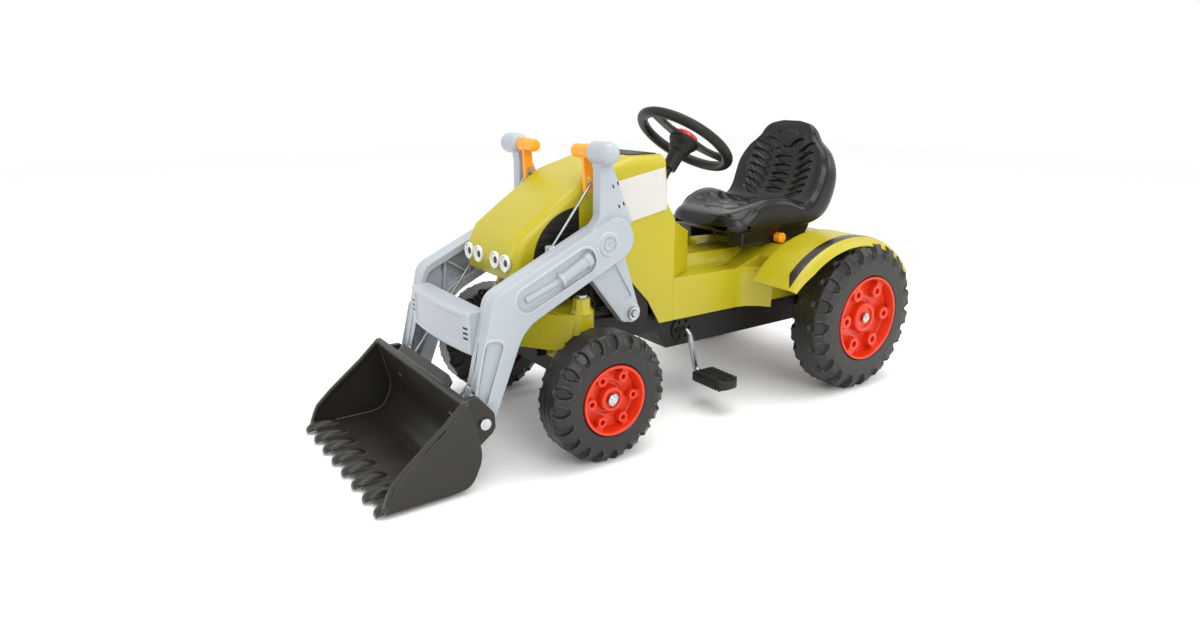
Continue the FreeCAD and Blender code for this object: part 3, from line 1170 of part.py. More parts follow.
# Loader arm: a hollow bent beam with a leg to its pivot, a lever up to the grip and guides for the latch rod.
def loader_arm(name, side):
    label = f"loader_arm_{name}"
    beam = side_plate(f"arm_{name}_beam", side, (
        ("heel_x + 15", "heel_z + 35"), ("elbow_x", "elbow_z"), ("pin_x + tip_radius", "pin_z"),
        ("pin_x - tip_radius", "pin_z"), ("elbow_x - 39", "elbow_z - 94"), ("elbow_x - 67", "elbow_z - 61"),
        ("heel_x + 46", "heel_z - 66"), ("heel_x - 33", "heel_z - 16")), "arm_in", "arm_out")
    picks_top = across_at("elbow_x", "elbow_z")
    round_edges(beam, "elbow_round", picks_top, f"arm_{name}_elbow")
    inside = new_sketch(beam, "XZ_Plane", f"arm_{name}_inside")
    draw_outline(inside, (
        ("heel_x + 2", "heel_z + 28"), ("elbow_x - 40", "elbow_z + 6"), ("elbow_x - 80", "elbow_z - 46"),
        ("heel_x + 46", "heel_z - 56"), ("heel_x - 22", "heel_z - 12")))
    draw_outline(inside, (
        ("elbow_x + 2", "elbow_z - 60"), ("pin_x + 10", "pin_z + 34"), ("pin_x - 10", "pin_z + 34"),
        ("elbow_x - 26", "elbow_z - 92")))
    extrude(beam, "Pocket", inside, "(arm_out - arm_in) - 3 * arm_wall", reverse=side < 0)
    outer = f"-{side} * (arm_out - arm_in)"
    recess = new_sketch(beam, "XZ_Plane", f"arm_{name}_recess", offset=outer)
    draw_outline(recess, (
        ("heel_x + 62", "heel_z + 4"), ("elbow_x - 52", "elbow_z + 12"), ("elbow_x - 70", "elbow_z - 28"),
        ("heel_x + 44", "heel_z - 36")))
    extrude(beam, "Pocket", recess, "arm_wall", reverse=side > 0)
    along = "+y" if side > 0 else "-y"
    thick = "arm_out - arm_in"
    y = f"{side} * arm_in"
    parts = [beam, rod(f"arm_{name}_heel", "arm_half", thick, "heel_x", y, "heel_z", along),
             rod(f"arm_{name}_tip", "tip_radius", thick, "pin_x", y, "pin_z", along),
             rod(f"arm_{name}_boss", "arm_half / 2", f"{thick} + arm_wall / 2",
                 "heel_x + 20", y, "heel_z - 7", along)]
    parts.append(side_plate(f"arm_{name}_leg", side, (
        ("heel_x + 46", "heel_z - 66"), ("lift_x + eye_radius * 0.9", "lift_z - eye_radius * 0.4"),
        ("lift_x - eye_radius * 0.9", "lift_z + eye_radius * 0.4"), ("heel_x - 33", "heel_z - 44"),
        ("heel_x", "heel_z")), "leg_in", "leg_out"))
    parts.append(rod(f"arm_{name}_eye", "eye_radius", "leg_out - leg_in",
                     "lift_x", f"{side} * leg_in", "lift_z", along))
    parts.append(side_plate(f"arm_{name}_lever", side, (
        ("heel_x - 24", "heel_z + 14"), ("grip_x - grip_radius * 0.9", "grip_z - grip_radius"),
        ("grip_x - grip_radius * 0.9", "grip_z"), ("grip_x + grip_radius * 0.9", "grip_z"),
        ("grip_x + grip_radius * 1.1", "grip_z - 60"), ("heel_x + 84", "heel_z")),
        "arm_in + 2 * arm_wall", "arm_out - 2 * arm_wall"))
    parts.append(rod(f"arm_{name}_grip", "grip_radius", "grip_out - grip_in",
                     "grip_x", f"{side} * grip_in", "grip_z", along))
    dome = doc.addObject("Part::Sphere", f"arm_{name}_dome")
    bind(dome, "Radius", "grip_radius")
    parts.append(place(dome, x="grip_x", y=f"{side} * grip_out", z="grip_z"))
    tube_y = f"{side} * (arm_out - arm_wall / 2)"
    parts.append(strut(f"arm_{name}_cylinder", "arm_half / 3", ("heel_x + 50", "heel_z - 15"),
                       ("heel_x + 115", "heel_z - 48"), tube_y))
    parts.append(strut(f"arm_{name}_piston", "arm_half / 5", ("heel_x + 110", "heel_z - 45"),
                       ("elbow_x - 61", "elbow_z - 10"), tube_y))
    guides = []
    for step, share in enumerate((0.32, 0.69)):
        x = f"rod_top_x + (rod_low_x - rod_top_x) * {share}"
        z = f"rod_top_z + (rod_low_z - rod_top_z) * {share}"
        low, high = sorted((f"{side} * (rod_y - 2 * rod_radius)", f"{side} * (arm_in + arm_wall)"), key=size)
        guides.append(box(f"arm_{name}_guide_{step}", f"{x} - guide_half", f"{x} + guide_half", low, high,
                          f"{z} - guide_half", f"{z} + guide_half"))
    tools = [strut(f"arm_{name}_rod_bore", "rod_radius + running_gap", ("rod_top_x", "rod_top_z"),
                   ("rod_low_x", "rod_low_z"), f"{side} * rod_y"),
             rod(f"arm_{name}_pin_bore", "pin_radius + running_gap", "arm_out",
                 "pin_x", f"{side} * leg_in", "pin_z", along),
             rod(f"arm_{name}_lift_bore", "lift_bolt + running_gap", "arm_out",
                 "lift_x", f"{side} * engine_half", "lift_z", along),
             rod(f"arm_{name}_trigger_bore", "trigger_stud + running_gap", "trigger_depth + 2", "grip_x",
                 f"{side} * (grip_in - 1)", "grip_z", along)]
    node(cut(f"arm_{name}_bored", fuse(f"arm_{name}_solid", parts + guides), tools), label)


# Orange trigger at the inner end of a grip, and the latch rod that it pulls.
def trigger(name, side):
    along = "+y" if side > 0 else "-y"
    inner = f"{side} * (grip_in - moving_gap)"
    back = "-y" if side > 0 else "+y"
    knob = rod(f"trigger_{name}_head", "grip_radius * 0.6", "trigger_head", "grip_x", inner, "grip_z", back)
    stud = rod(f"trigger_{name}_stud", "trigger_stud", "trigger_depth", "grip_x", inner, "grip_z", along)
    lever = side_plate(f"trigger_{name}_lever", side, (
        ("grip_x - 9", "grip_z"), ("grip_x + 9", "grip_z"), ("rod_top_x + 10", "rod_top_z - 16"),
        ("rod_top_x - 10", "rod_top_z - 16")), "rod_y - 10", "rod_y - rod_radius - moving_gap")
    slot = box(f"trigger_{name}_slot", "rod_top_x - rod_radius - 3", "rod_top_x + rod_radius + 3",
               f"{side} * (rod_y - 8) - 6", f"{side} * (rod_y - 8) + 6", "rod_top_z - 12", "rod_top_z + 12")
    node(cut(f"trigger_{name}_slotted", fuse(f"trigger_{name}_lever_knob", [knob, stud, lever]), [slot]),
         f"trigger_{name}")
    bar = strut(f"latch_{name}_bar", "rod_radius", ("rod_top_x", "rod_top_z"), ("rod_low_x", "rod_low_z"),
                f"{side} * rod_y")
    hook = rod(f"latch_{name}_hook", "rod_radius", "14", "rod_top_x", f"{side} * rod_y", "rod_top_z", back)
    node(fuse(f"latch_{name}_rod", [bar, hook]), f"latch_rod_{name}")


def loader():
    for name, side in SIDES:
        loader_arm(name, side)
        trigger(name, side)
    node(cross_bar("cross_member", (
        ("elbow_x + 29", "elbow_z - 38"), ("elbow_x + 37", "elbow_z - 96"), ("elbow_x + 8", "elbow_z - 104"),
        ("elbow_x - 8", "elbow_z - 44"), ("elbow_x + 14", "elbow_z - 30")), "2 * (arm_in - seat_gap)"),
        "cross_member")


# Bucket: an open shell with a row of teeth, lugs for the arms and a guard along its rear rim.
def bucket():
    back_x = "pin_x + 17"
    rim_x = "pin_x + 42"
    rim_z = "pin_z + 56"
    body = cross_bar("bucket_shell", (
        (rim_x, rim_z), (back_x, "pin_z - 46"), ("pin_x + 30", "bucket_low + 16"),
        ("pin_x + 68", "bucket_low"),
        ("bucket_tip", "bucket_low"), ("bucket_tip - 10", "bucket_low + 36")), "2 * bucket_half")
    inside = new_sketch(body, "XZ_Plane", "bucket_inside")
    draw_outline(inside, (
        (f"{rim_x} + bucket_wall + 5", f"{rim_z} + 20"), (f"{back_x} + bucket_wall", "pin_z - 46"),
        ("pin_x + 32 + bucket_wall / 2", "bucket_low + 16 + bucket_wall / 2"),
        ("pin_x + 69", "bucket_low + bucket_wall"), ("bucket_tip + 20", "bucket_low + bucket_wall"),
        ("bucket_tip + 20", f"{rim_z} + 20")))
    extrude(body, "Pocket", inside, "2 * (bucket_half - bucket_wall)", both=True)
    parts = [body]
    reach = "(bucket_half - tooth_half - bucket_wall)"
    for step in range(round(size("tooth_count"))):
        y = f"-{reach} + {step} * 2 * {reach} / (tooth_count - 1)"
        tooth = new_body(f"bucket_tooth_{step}", y=y)
        sketch = new_sketch(tooth, "XZ_Plane", f"bucket_tooth_{step}_outline")
        draw_outline(sketch, (
            ("bucket_tip - 18", "bucket_low + bucket_wall * 2"), ("bucket_tip - 22", "bucket_low"),
            ("bucket_tip + 6", "bucket_low - 4"), ("bucket_tip + 13", "bucket_low - 5"),
            ("bucket_tip + 11", "bucket_low - 1")))
        extrude(tooth, "Pad", sketch, "2 * tooth_half", both=True)
        parts.append(tooth)
    pins = []
    bores = []
    for name, side in SIDES:
        along = "+y" if side > 0 else "-y"
        for spot, inner, outer, top in (("outer", "arm_out + moving_gap", "lug_out", "pin_z + 50"),
                                        ("inner", "lug_in", "arm_in - moving_gap", "pin_z + 8")):
            parts.append(side_plate(f"bucket_{name}_{spot}_lug", side, (
                ("pin_x - 16", "pin_z - 14"), (f"{back_x} + 1", "pin_z - 45"),
                (f"{back_x} + 10", "pin_z - 20"),
                (f"{back_x} + 20", top), ("pin_x - 6", "pin_z + 20")), inner, outer))
            parts.append(rod(f"bucket_{name}_{spot}_eye", "tip_radius + 1", f"{outer} - ({inner})", "pin_x",
                             f"{side} * ({inner})", "pin_z", along))
        bores.append(rod(f"bucket_{name}_bore", "pin_radius + running_gap / 4", "bucket_half", "pin_x",
                         f"{side} * (lug_in - 1)", "pin_z", along))
        shaft = rod(f"bucket_{name}_shaft", "pin_radius", "lug_out + 1 - lug_in", "pin_x",
                    f"{side} * lug_in", "pin_z", along)
        head = rod(f"bucket_{name}_head", "pin_radius * 2", "pin_radius", "pin_x",
                   f"{side} * (lug_out + seat_gap / 2)", "pin_z", along)
        pins.append(fuse(f"bucket_{name}_bolt", [shaft, head]))
    guard = cross_bar("bucket_guard", (
        (f"{rim_x} + bucket_wall - 1", f"{rim_z} - 2"), (f"{rim_x} - 3", f"{rim_z} - 8"),
        (f"{rim_x} - 18", f"{rim_z} + 12"), (f"{rim_x} - 14", f"{rim_z} + 15")), "bucket_half")
    node(cut("bucket_bored", fuse("bucket_fitted", parts + [guard]), bores), "bucket")
    node(group("bucket_bolt_pair", pins), "bucket_bolts")


# Stops if any object failed, then writes one file for each sub-part.
def write_parts():
    doc.recompute()
    failed = [item.Label for item in doc.Objects if {"Invalid", "Error"} & set(item.State)]
    failed += [item.Label for item in nodes if item.Shape.isNull() or not item.Shape.isValid()]
    if failed:
        raise RuntimeError("failed: " + ", ".join(failed))
    os.makedirs("parts", exist_ok=True)
    for item in nodes:
        item.Shape.exportStep(f"parts/{item.Label}.step")
    print(len(nodes), "sub-parts written")


for build in (wheels, chassis, drive, front_axle, steering, hood, tub, fenders, trim, engine, seat,
              loader, bucket):
    build()
write_parts()
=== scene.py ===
import json
import math

import bmesh
import bpy
from mathutils import Matrix, Vector

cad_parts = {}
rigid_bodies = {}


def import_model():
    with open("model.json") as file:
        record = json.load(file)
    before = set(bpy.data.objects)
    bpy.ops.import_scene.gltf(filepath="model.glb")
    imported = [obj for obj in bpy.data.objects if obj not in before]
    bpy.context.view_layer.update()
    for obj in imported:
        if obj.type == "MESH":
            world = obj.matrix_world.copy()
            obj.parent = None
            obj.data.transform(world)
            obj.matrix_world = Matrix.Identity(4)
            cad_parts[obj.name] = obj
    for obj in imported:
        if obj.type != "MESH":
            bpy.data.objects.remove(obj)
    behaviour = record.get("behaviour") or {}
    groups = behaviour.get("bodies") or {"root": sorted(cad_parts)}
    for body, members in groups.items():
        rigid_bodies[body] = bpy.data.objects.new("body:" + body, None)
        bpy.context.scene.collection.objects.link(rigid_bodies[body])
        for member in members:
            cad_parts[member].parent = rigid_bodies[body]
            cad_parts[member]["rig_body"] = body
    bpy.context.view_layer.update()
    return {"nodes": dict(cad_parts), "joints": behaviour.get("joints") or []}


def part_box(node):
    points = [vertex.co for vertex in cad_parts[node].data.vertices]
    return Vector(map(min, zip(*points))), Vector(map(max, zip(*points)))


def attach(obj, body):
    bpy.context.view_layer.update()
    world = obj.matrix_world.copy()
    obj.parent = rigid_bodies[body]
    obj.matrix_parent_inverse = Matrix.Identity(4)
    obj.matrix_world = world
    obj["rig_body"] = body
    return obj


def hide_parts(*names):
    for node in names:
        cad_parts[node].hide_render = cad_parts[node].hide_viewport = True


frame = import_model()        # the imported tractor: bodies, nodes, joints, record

# Ride-on pedal tractor with a front loader. Pieces are drawn in millimetres and scaled to metres when they are added.
mm = 0.001
sides = (("left", 1), ("right", -1))
flatTurn = Matrix.Rotation(math.radians(90), 4, "X")      # a drawing in XY stood up in XZ
axisRadius = 0.01                                         # stands for zero where a turned profile meets its axis


class Look(dict):
    # a dictionary of values to change, also read as look.name
    __getattr__ = dict.__getitem__


# Colours, nodes and materials

def hexLinear(text):
    parts = [int(text[at:at + 2], 16) / 255 for at in (1, 3, 5)]
    return tuple(p / 12.92 if p <= 0.04045 else ((p + 0.055) / 1.055) ** 2.4 for p in parts) + (1.0,)


def addNode(tree, kind, inputs=None, **settings):
    node = tree.nodes.new(kind)
    for key, value in settings.items():
        setattr(node, key, value)
    for key, value in (inputs or {}).items():
        if isinstance(value, bpy.types.NodeSocket):
            tree.links.new(value, node.inputs[key])
        else:
            node.inputs[key].default_value = value
    return node


def newMaterial(name):
    material = bpy.data.materials.new(name)
    material.use_nodes = True
    material.node_tree.nodes.clear()
    return material, material.node_tree


def noise(tree, size, detail):
    # clouds about as wide as the given millimetres
    spot = addNode(tree, "ShaderNodeTexCoord").outputs["Object"]
    return addNode(tree, "ShaderNodeTexNoise", {"Vector": spot, "Scale": 1 / (size * mm),
                                                "Detail": detail}).outputs["Fac"]


def mixed(tree, share, low, high):
    return addNode(tree, "ShaderNodeMix", {0: share, 6: low, 7: high}, data_type="RGBA").outputs[2]


def ranged(tree, value, given, wanted):
    return addNode(tree, "ShaderNodeMapRange", {"Value": value, "From Min": given[0], "From Max": given[1],
                                                "To Min": wanted[0], "To Max": wanted[1]}).outputs["Result"]


def softNormal(tree, radius):
    return addNode(tree, "ShaderNodeBevel", {"Radius": radius * mm}, samples=4).outputs["Normal"]


def surfaced(tree, height, strength, distance, normal, inputs):
    bumpInputs = {"Height": height, "Strength": strength}
    if distance:
        bumpInputs.update({"Distance": distance, "Normal": normal})
    bump = addNode(tree, "ShaderNodeBump", bumpInputs)
    surface = addNode(tree, "ShaderNodeBsdfPrincipled", {**inputs, "Normal": bump.outputs["Normal"]})
    addNode(tree, "ShaderNodeOutputMaterial", {"Surface": surface.outputs["BSDF"]})


plasticFinish = Look(
    edgeTurn=(0.995, 0.86), cloudSpan=(0.3, 0.7), roughSpread=0.05, grainDepth=0.2, ior=1.49,
    shine=0.5, coatRough=0.12)
steelFinish = Look(smoother=0.08, rougher=0.1, lineStrength=0.08, lineDepth=0.1)


# Injection or blow moulded plastic: faint flow clouds in the colour, a fine eroded grain, and edges painted paler as a
# painted highlight.
def mouldedPlastic(name, look):
    finish = plasticFinish
    material, tree = newMaterial(name)
    cloud, grain = noise(tree, look.cloud, 4.0), noise(tree, look.grain, 2.0)
    tint = mixed(tree, cloud, hexLinear(look.deep), hexLinear(look.pale))
    soft = softNormal(tree, look.round)
    faceNormal = addNode(tree, "ShaderNodeNewGeometry").outputs["Normal"]
    # edges, where the rounded normal leans away from the face normal, are mixed towards the edge colour: a painted
    # highlight
    lean = addNode(tree, "ShaderNodeVectorMath", {0: soft, 1: faceNormal}, operation="DOT_PRODUCT")
    edge = ranged(tree, lean.outputs["Value"], finish.edgeTurn, (0.0, look.rub))
    surfaced(tree, grain, look.bump, look.grain * mm * finish.grainDepth, soft, {
        "Base Color": mixed(tree, edge, tint, hexLinear(look.edge)), "IOR": finish.ior,
        "Roughness": ranged(tree, cloud, finish.cloudSpan, (look.rough - finish.roughSpread,
                                                            look.rough + finish.roughSpread)),
        "Specular IOR Level": look.get("shine", finish.shine), "Coat Weight": look.get("coat", 0.0),
        "Coat Roughness": finish.coatRough})
    return material


# Bright zinc-plated or drawn steel: fine draw lines in the roughness, a little dull staining.
def brightSteel(name, look):
    finish = steelFinish
    material, tree = newMaterial(name)
    stain, line = noise(tree, look.stain, 5.0), noise(tree, look.line, 1.0)
    surfaced(tree, line, finish.lineStrength, finish.lineDepth * mm, softNormal(tree, look.round), {
        "Base Color": mixed(tree, stain, hexLinear(look.deep), hexLinear(look.pale)), "Metallic": 1.0,
        "Roughness": ranged(tree, line, (0.0, 1.0), (look.rough - finish.smoother, look.rough + finish.rougher))})
    return material


# the edge column is the colour of a painted highlight along the edges, and the column after it is how much of it is
# mixed in
plasticColumns = ("deep", "pale", "edge", "cloud", "grain", "round", "rub", "rough", "bump", "shine", "coat")
plasticLooks = {
    # blow-moulded polyethylene, satin, for the yellow-green bodywork
    "polyethyleneMouldedYellowGreen": ("#a79b0d", "#b2a616", "#dcd35c", 90, 0.9, 2.5, 0.5, 0.32, 0.1),
    # film-faced polypropylene plate, smooth and almost white
    "polypropyleneFilmWhite": ("#c4c1bb", "#c8c5bf", "#ffffff", 60, 0.6, 0.8, 0.3, 0.28, 0.04),
    # injection-moulded polypropylene, saturated red-orange, semi-gloss
    "polypropyleneMouldedRedOrange": ("#c92a08", "#d8330d", "#f0653a", 40, 0.8, 1.2, 0.45, 0.33, 0.06),
    # structural polypropylene, cool light grey, satin with a fine eroded grain
    "polypropyleneMouldedGrey": ("#9ca3aa", "#a9b0b6", "#e3e9ee", 70, 1.0, 1.6, 0.8, 0.36, 0.08),
    # tough polyethylene, dark brown-grey, satin, edges painted paler as a painted highlight
    "polyethyleneMouldedUmberGrey": ("#1f1c17", "#27231e", "#8d877f", 80, 1.1, 1.6, 0.7, 0.36, 0.12, 0.4),
    # high-gloss blow-moulded polyethylene with a clear reflection, near black
    "polyethyleneMouldedGlossBlack": ("#0f0d0a", "#15120f", "#4a4540", 60, 1.2, 1.5, 0.3, 0.27, 0.05, 0.36),
    # blow-moulded tyre plastic, black, satin, with a painted highlight along its edges
    "polyethyleneMouldedTyreBlack": ("#1b1a18", "#24221f", "#8b8782", 45, 1.0, 1.0, 0.7, 0.36, 0.1, 0.4),
    # plain injection-moulded chassis plastic, black, matt
    "polypropyleneMouldedMattBlack": ("#161512", "#1d1b18", "#454340", 60, 0.9, 1.5, 0.3, 0.46, 0.14, 0.3),
    # small glossy orange mouldings for what the hand works
    "acetalMouldedOrange": ("#f08c0a", "#fba51c", "#ffcf7a", 25, 0.8, 1.0, 0.4, 0.3, 0.05),
    # glossy red push button
    "acetalMouldedRed": ("#c81f1a", "#dc332a", "#ff8a80", 20, 0.6, 1.0, 0.35, 0.25, 0.04),
    # thin glossy film strip, dark umber
    "vinylFilmUmber": ("#1d1916", "#2a2521", "#544e49", 120, 0.5, 0.3, 0.2, 0.2, 0.02),
    # silvered lamp print under a clear film
    "acrylicFilmSilver": ("#c9c9c6", "#efeeea", "#ffffff", 14, 0.4, 0.5, 0.3, 0.2, 0.02, 0.5, 0.4),
}
steelLooks = {
    # bent round bar, zinc plated
    "steelDrawnZinc": Look(deep="#8e9193", pale="#b6b9bb", stain=18, line=0.5, round=0.6, rough=0.27),
    # pressed bright cap
    "steelPressedBright": Look(deep="#9ea1a4", pale="#cfd1d3", stain=9, line=0.4, round=0.8, rough=0.2),
}
plastics = [mouldedPlastic(name, Look(zip(plasticColumns, row))) for name, row in plasticLooks.items()]
steels = [brightSteel(name, look) for name, look in steelLooks.items()]
# short names, in the order of the looks above
yellow, white, redOrange, grey, umber, gloss, rubberBlack, matt, orange, red, film, silver = plastics
steel, capSteel = steels
print("materials made:", len(plastics) + len(steels))


# Drawing helpers

# share of an edge that a corner may take, half angle of a straight corner, least mitre, lean of an upright bar,
# distances at which points are joined, angle at which faces of a node count as one
drawLook = Look(cornerShare=0.49, straight=89, mitre=0.3, upright=0.9, weld=0.005, nodeWeld=0.01, nodeFlat=0.5)


def boxOf(node):
    low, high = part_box(node)
    return low / mm, high / mm


def bodyOf(node):
    return frame["nodes"][node]["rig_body"]


def jointOf(name):
    return next(joint for joint in frame["joints"] if joint["name"] == name)


def jointSpot(name):
    return Vector(jointOf(name)["pos_m"]) / mm


def eased(share):
    share = min(1.0, max(0.0, share))
    return share * share * (3 - 2 * share)


def oblong(left, low, right, high):
    return [(left, low), (right, low), (right, high), (left, high)]


def rounded(points, radii, steps=6):
    # a closed outline whose corners are arcs of the given radii
    if not isinstance(radii, (list, tuple)):
        radii = [radii] * len(points)
    outline = []
    for at, corner in enumerate(points):
        corner = Vector(corner)
        before = Vector(points[at - 1]) - corner
        after = Vector(points[(at + 1) % len(points)]) - corner
        half = before.angle(after) / 2
        if radii[at] <= 0 or half > math.radians(drawLook.straight):
            outline.append(corner)
            continue
        longest = min(before.length, after.length) * drawLook.cornerShare
        reach = min(radii[at] / math.tan(half), longest)
        radius = reach * math.tan(half)
        middle = corner + (before.normalized() + after.normalized()).normalized() * (radius / math.sin(half))
        first = corner + before.normalized() * reach - middle
        last = corner + after.normalized() * reach - middle
        sweep = first.angle_signed(last)
        outline += [middle + Matrix.Rotation(-sweep * step / steps, 2) @ first for step in range(steps + 1)]
    return outline


def cornered(rows, steps):
    # an outline from rows of two coordinates and a corner radius
    return rounded([row[:2] for row in rows], [row[2] for row in rows], steps)


def inset(points, distance):
    # an outline moved to the left of its run with mitred corners
    moved = []
    for at, here in enumerate(points):
        here = Vector(here)
        into = (here - Vector(points[at - 1])).normalized()
        out = (Vector(points[(at + 1) % len(points)]) - here).normalized()
        normal = (Vector((-into.y, into.x)) + Vector((-out.y, out.x))).normalized()
        moved.append(here + normal * distance / max(drawLook.mitre, normal.dot(Vector((-into.y, into.x)))))
    return moved


def spread(points, gap):
    # points along an open run, no further apart than the gap
    fine = []
    for here, after in zip(points, points[1:]):
        count = max(1, math.ceil((after - here).length / gap))
        fine += [here.lerp(after, step / count) for step in range(count)]
    return fine + [points[-1]]


def headings(points):
    # the direction of a run at each of its points
    last = len(points) - 1
    return [(Vector(points[min(at + 1, last)]) - Vector(points[max(at - 1, 0)])).normalized()
            for at in range(last + 1)]


def lengths(points):
    # how far along a flat run each of its points lies
    reach = [0.0]
    for one, two in zip(points, points[1:]):
        reach.append(reach[-1] + math.dist(one[:2], two[:2]))
    return reach


def loft(bm, rows, closedRows=True, closedRun=False, capEnds=True):
    # a skin through rows of points
    grid = [[bm.verts.new(p) for p in row] for row in rows]
    across = len(grid[0]) if closedRows else len(grid[0]) - 1
    run = len(grid) if closedRun else len(grid) - 1
    for at in range(run):
        one, two = grid[at], grid[(at + 1) % len(grid)]
        for step in range(across):
            after = (step + 1) % len(one)
            bm.faces.new((one[step], one[after], two[after], two[step]))
    if capEnds and not closedRun:
        bm.faces.new(grid[0][::-1])
        bm.faces.new(grid[-1])


def prism(bm, outline, stops):
    # an outline in XZ carried along Y
    loft(bm, [[(x, y, z) for x, z in outline] for y in stops])


def turns(steps):
    return [2 * math.pi * step / steps for step in range(steps)]


def spin(bm, profile, steps, centre, side=1, closed=True):
    # a ring about Y: the profile holds (along Y, radius)
    loft(bm, [[(centre[0] + r * math.cos(angle), centre[1] + side * a, centre[2] + r * math.sin(angle))
               for a, r in profile] for angle in turns(steps)], closedRows=closed, closedRun=True)


def turned(bm, profile, steps, stand, closed=False):
    # a lathe shape: the profile holds (radius, height) about the stand's own Z axis
    loft(bm, [[stand @ Vector((r * math.cos(angle), r * math.sin(angle), h)) for r, h in profile]
              for angle in turns(steps)], closedRows=closed, closedRun=True)


def plate(bm, outlines, low, high, edge, resolution=3):
    # a flat plate in XZ between two Y faces, with holes and rounded edges
    curve = bpy.data.curves.new("plateDrawing", "CURVE")
    curve.dimensions = "2D"
    curve.fill_mode = "BOTH"
    for outline in outlines:
        spline = curve.splines.new("POLY")
        spline.points.add(len(outline) - 1)
        for point, (x, z) in zip(spline.points, outline):
            point.co = (x, z, 0, 1)
        spline.use_cyclic_u = True
    curve.extrude = abs(high - low) / 2 - edge
    curve.bevel_depth = edge
    curve.bevel_resolution = resolution
    curve.offset = -edge
    stand = bpy.data.objects.new("plateDrawing", curve)
    bpy.context.scene.collection.objects.link(stand)
    mesh = bpy.data.meshes.new_from_object(stand.evaluated_get(bpy.context.evaluated_depsgraph_get()))
    mesh.transform(Matrix.Translation((0, (low + high) / 2, 0)) @ flatTurn)
    bm.from_mesh(mesh)
    bpy.data.objects.remove(stand)
    bpy.data.curves.remove(curve)
    bpy.data.meshes.remove(mesh)


def sided(bm, low, high, outlines, side, edge):
    plate(bm, outlines, *sorted((side * low, side * high)), edge)


def tube(bm, path, radii, steps):
    # a round bar along points, with a radius for each
    rows = []
    for here, ahead, radius in zip(path, headings(path), radii):
        level = abs(ahead.z) < drawLook.upright
        across = ahead.cross(Vector((0, 0, 1)) if level else Vector((0, 1, 0))).normalized()
        up = across.cross(ahead)
        rows.append([Vector(here) + (across * math.cos(t) + up * math.sin(t)) * radius for t in turns(steps)])
    loft(bm, rows)


def copiesTree():
    # copies of the given shape, each turned about Y and moved by one more step than the last
    tree = bpy.data.node_groups.new("copiesInStep", "GeometryNodeTree")
    tree.interface.new_socket("Geometry", in_out="INPUT", socket_type="NodeSocketGeometry")
    for name, kind in (("Count", "Int"), ("Turn", "Float"), ("Step", "Vector"), ("Material", "Material")):
        tree.interface.new_socket(name, in_out="INPUT", socket_type="NodeSocket" + kind)
    tree.interface.new_socket("Geometry", in_out="OUTPUT", socket_type="NodeSocketGeometry")
    given = addNode(tree, "NodeGroupInput").outputs
    points = addNode(tree, "GeometryNodePoints", {"Count": given["Count"]})
    index = addNode(tree, "GeometryNodeInputIndex").outputs[0]
    turn = addNode(tree, "ShaderNodeMath", {0: index, 1: given["Turn"]}, operation="MULTIPLY")
    angles = addNode(tree, "ShaderNodeCombineXYZ", {"Y": turn.outputs[0]})
    facing = addNode(tree, "FunctionNodeEulerToRotation", {0: angles.outputs[0]})
    moved = addNode(tree, "ShaderNodeVectorMath", {0: given["Step"], "Scale": index}, operation="SCALE")
    placed = addNode(tree, "GeometryNodeSetPosition", {"Geometry": points.outputs[0], "Offset": moved.outputs[0]})
    copies = addNode(tree, "GeometryNodeInstanceOnPoints", {
        "Points": placed.outputs[0], "Instance": given["Geometry"], "Rotation": facing.outputs[0]})
    real = addNode(tree, "GeometryNodeRealizeInstances", {"Geometry": copies.outputs[0]})
    painted = addNode(tree, "GeometryNodeSetMaterial", {"Geometry": real.outputs[0], "Material": given["Material"]})
    addNode(tree, "NodeGroupOutput", {0: painted.outputs[0]})
    return tree


copier = copiesTree()


def repeated(bm, shape, count, material, turn=0.0, step=(0, 0, 0), place=(0, 0, 0)):
    # adds copies of one small shape to a piece
    bmesh.ops.recalc_face_normals(shape, faces=shape.faces)
    mesh = bpy.data.meshes.new("oneCopy")
    shape.to_mesh(mesh)
    shape.free()
    stand = bpy.data.objects.new("oneCopy", mesh)
    bpy.context.scene.collection.objects.link(stand)
    modifier = stand.modifiers.new("copies", "NODES")
    modifier.node_group = copier
    values = {"Count": count, "Turn": turn, "Step": step, "Material": material}
    for socket in copier.interface.items_tree:
        if socket.in_out == "INPUT" and socket.name in values:
            modifier[socket.identifier] = values[socket.name]
    result = bpy.data.meshes.new_from_object(stand.evaluated_get(bpy.context.evaluated_depsgraph_get()))
    stand.modifiers.remove(modifier)
    result.transform(Matrix.Translation(place))
    bm.from_mesh(result)
    bpy.data.objects.remove(stand)
    bpy.data.meshes.remove(mesh)
    bpy.data.meshes.remove(result)


def addPiece(name, bm, material, body, slot, replaced=(), weighted=True, sharp=35):
    bmesh.ops.remove_doubles(bm, verts=bm.verts, dist=drawLook.weld)
    bmesh.ops.recalc_face_normals(bm, faces=bm.faces)
    mesh = bpy.data.meshes.new(name)
    bm.to_mesh(mesh)
    bm.free()
    mesh.transform(Matrix.Scale(mm, 4))
    mesh.materials.append(material)
    mesh.shade_smooth()
    mesh.set_sharp_from_angle(angle=math.radians(sharp))
    piece = bpy.data.objects.new(name, mesh)
    bpy.context.scene.collection.objects.link(piece)
    if weighted:
        keepSharp(piece)
    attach(piece, body)
    if replaced:
        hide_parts(*replaced)
    return piece


def keepSharp(piece):
    piece.modifiers.new("weight", "WEIGHTED_NORMAL").keep_sharp = True


# Wheels: tyres with six-sided notches in their shoulders, and dished rims

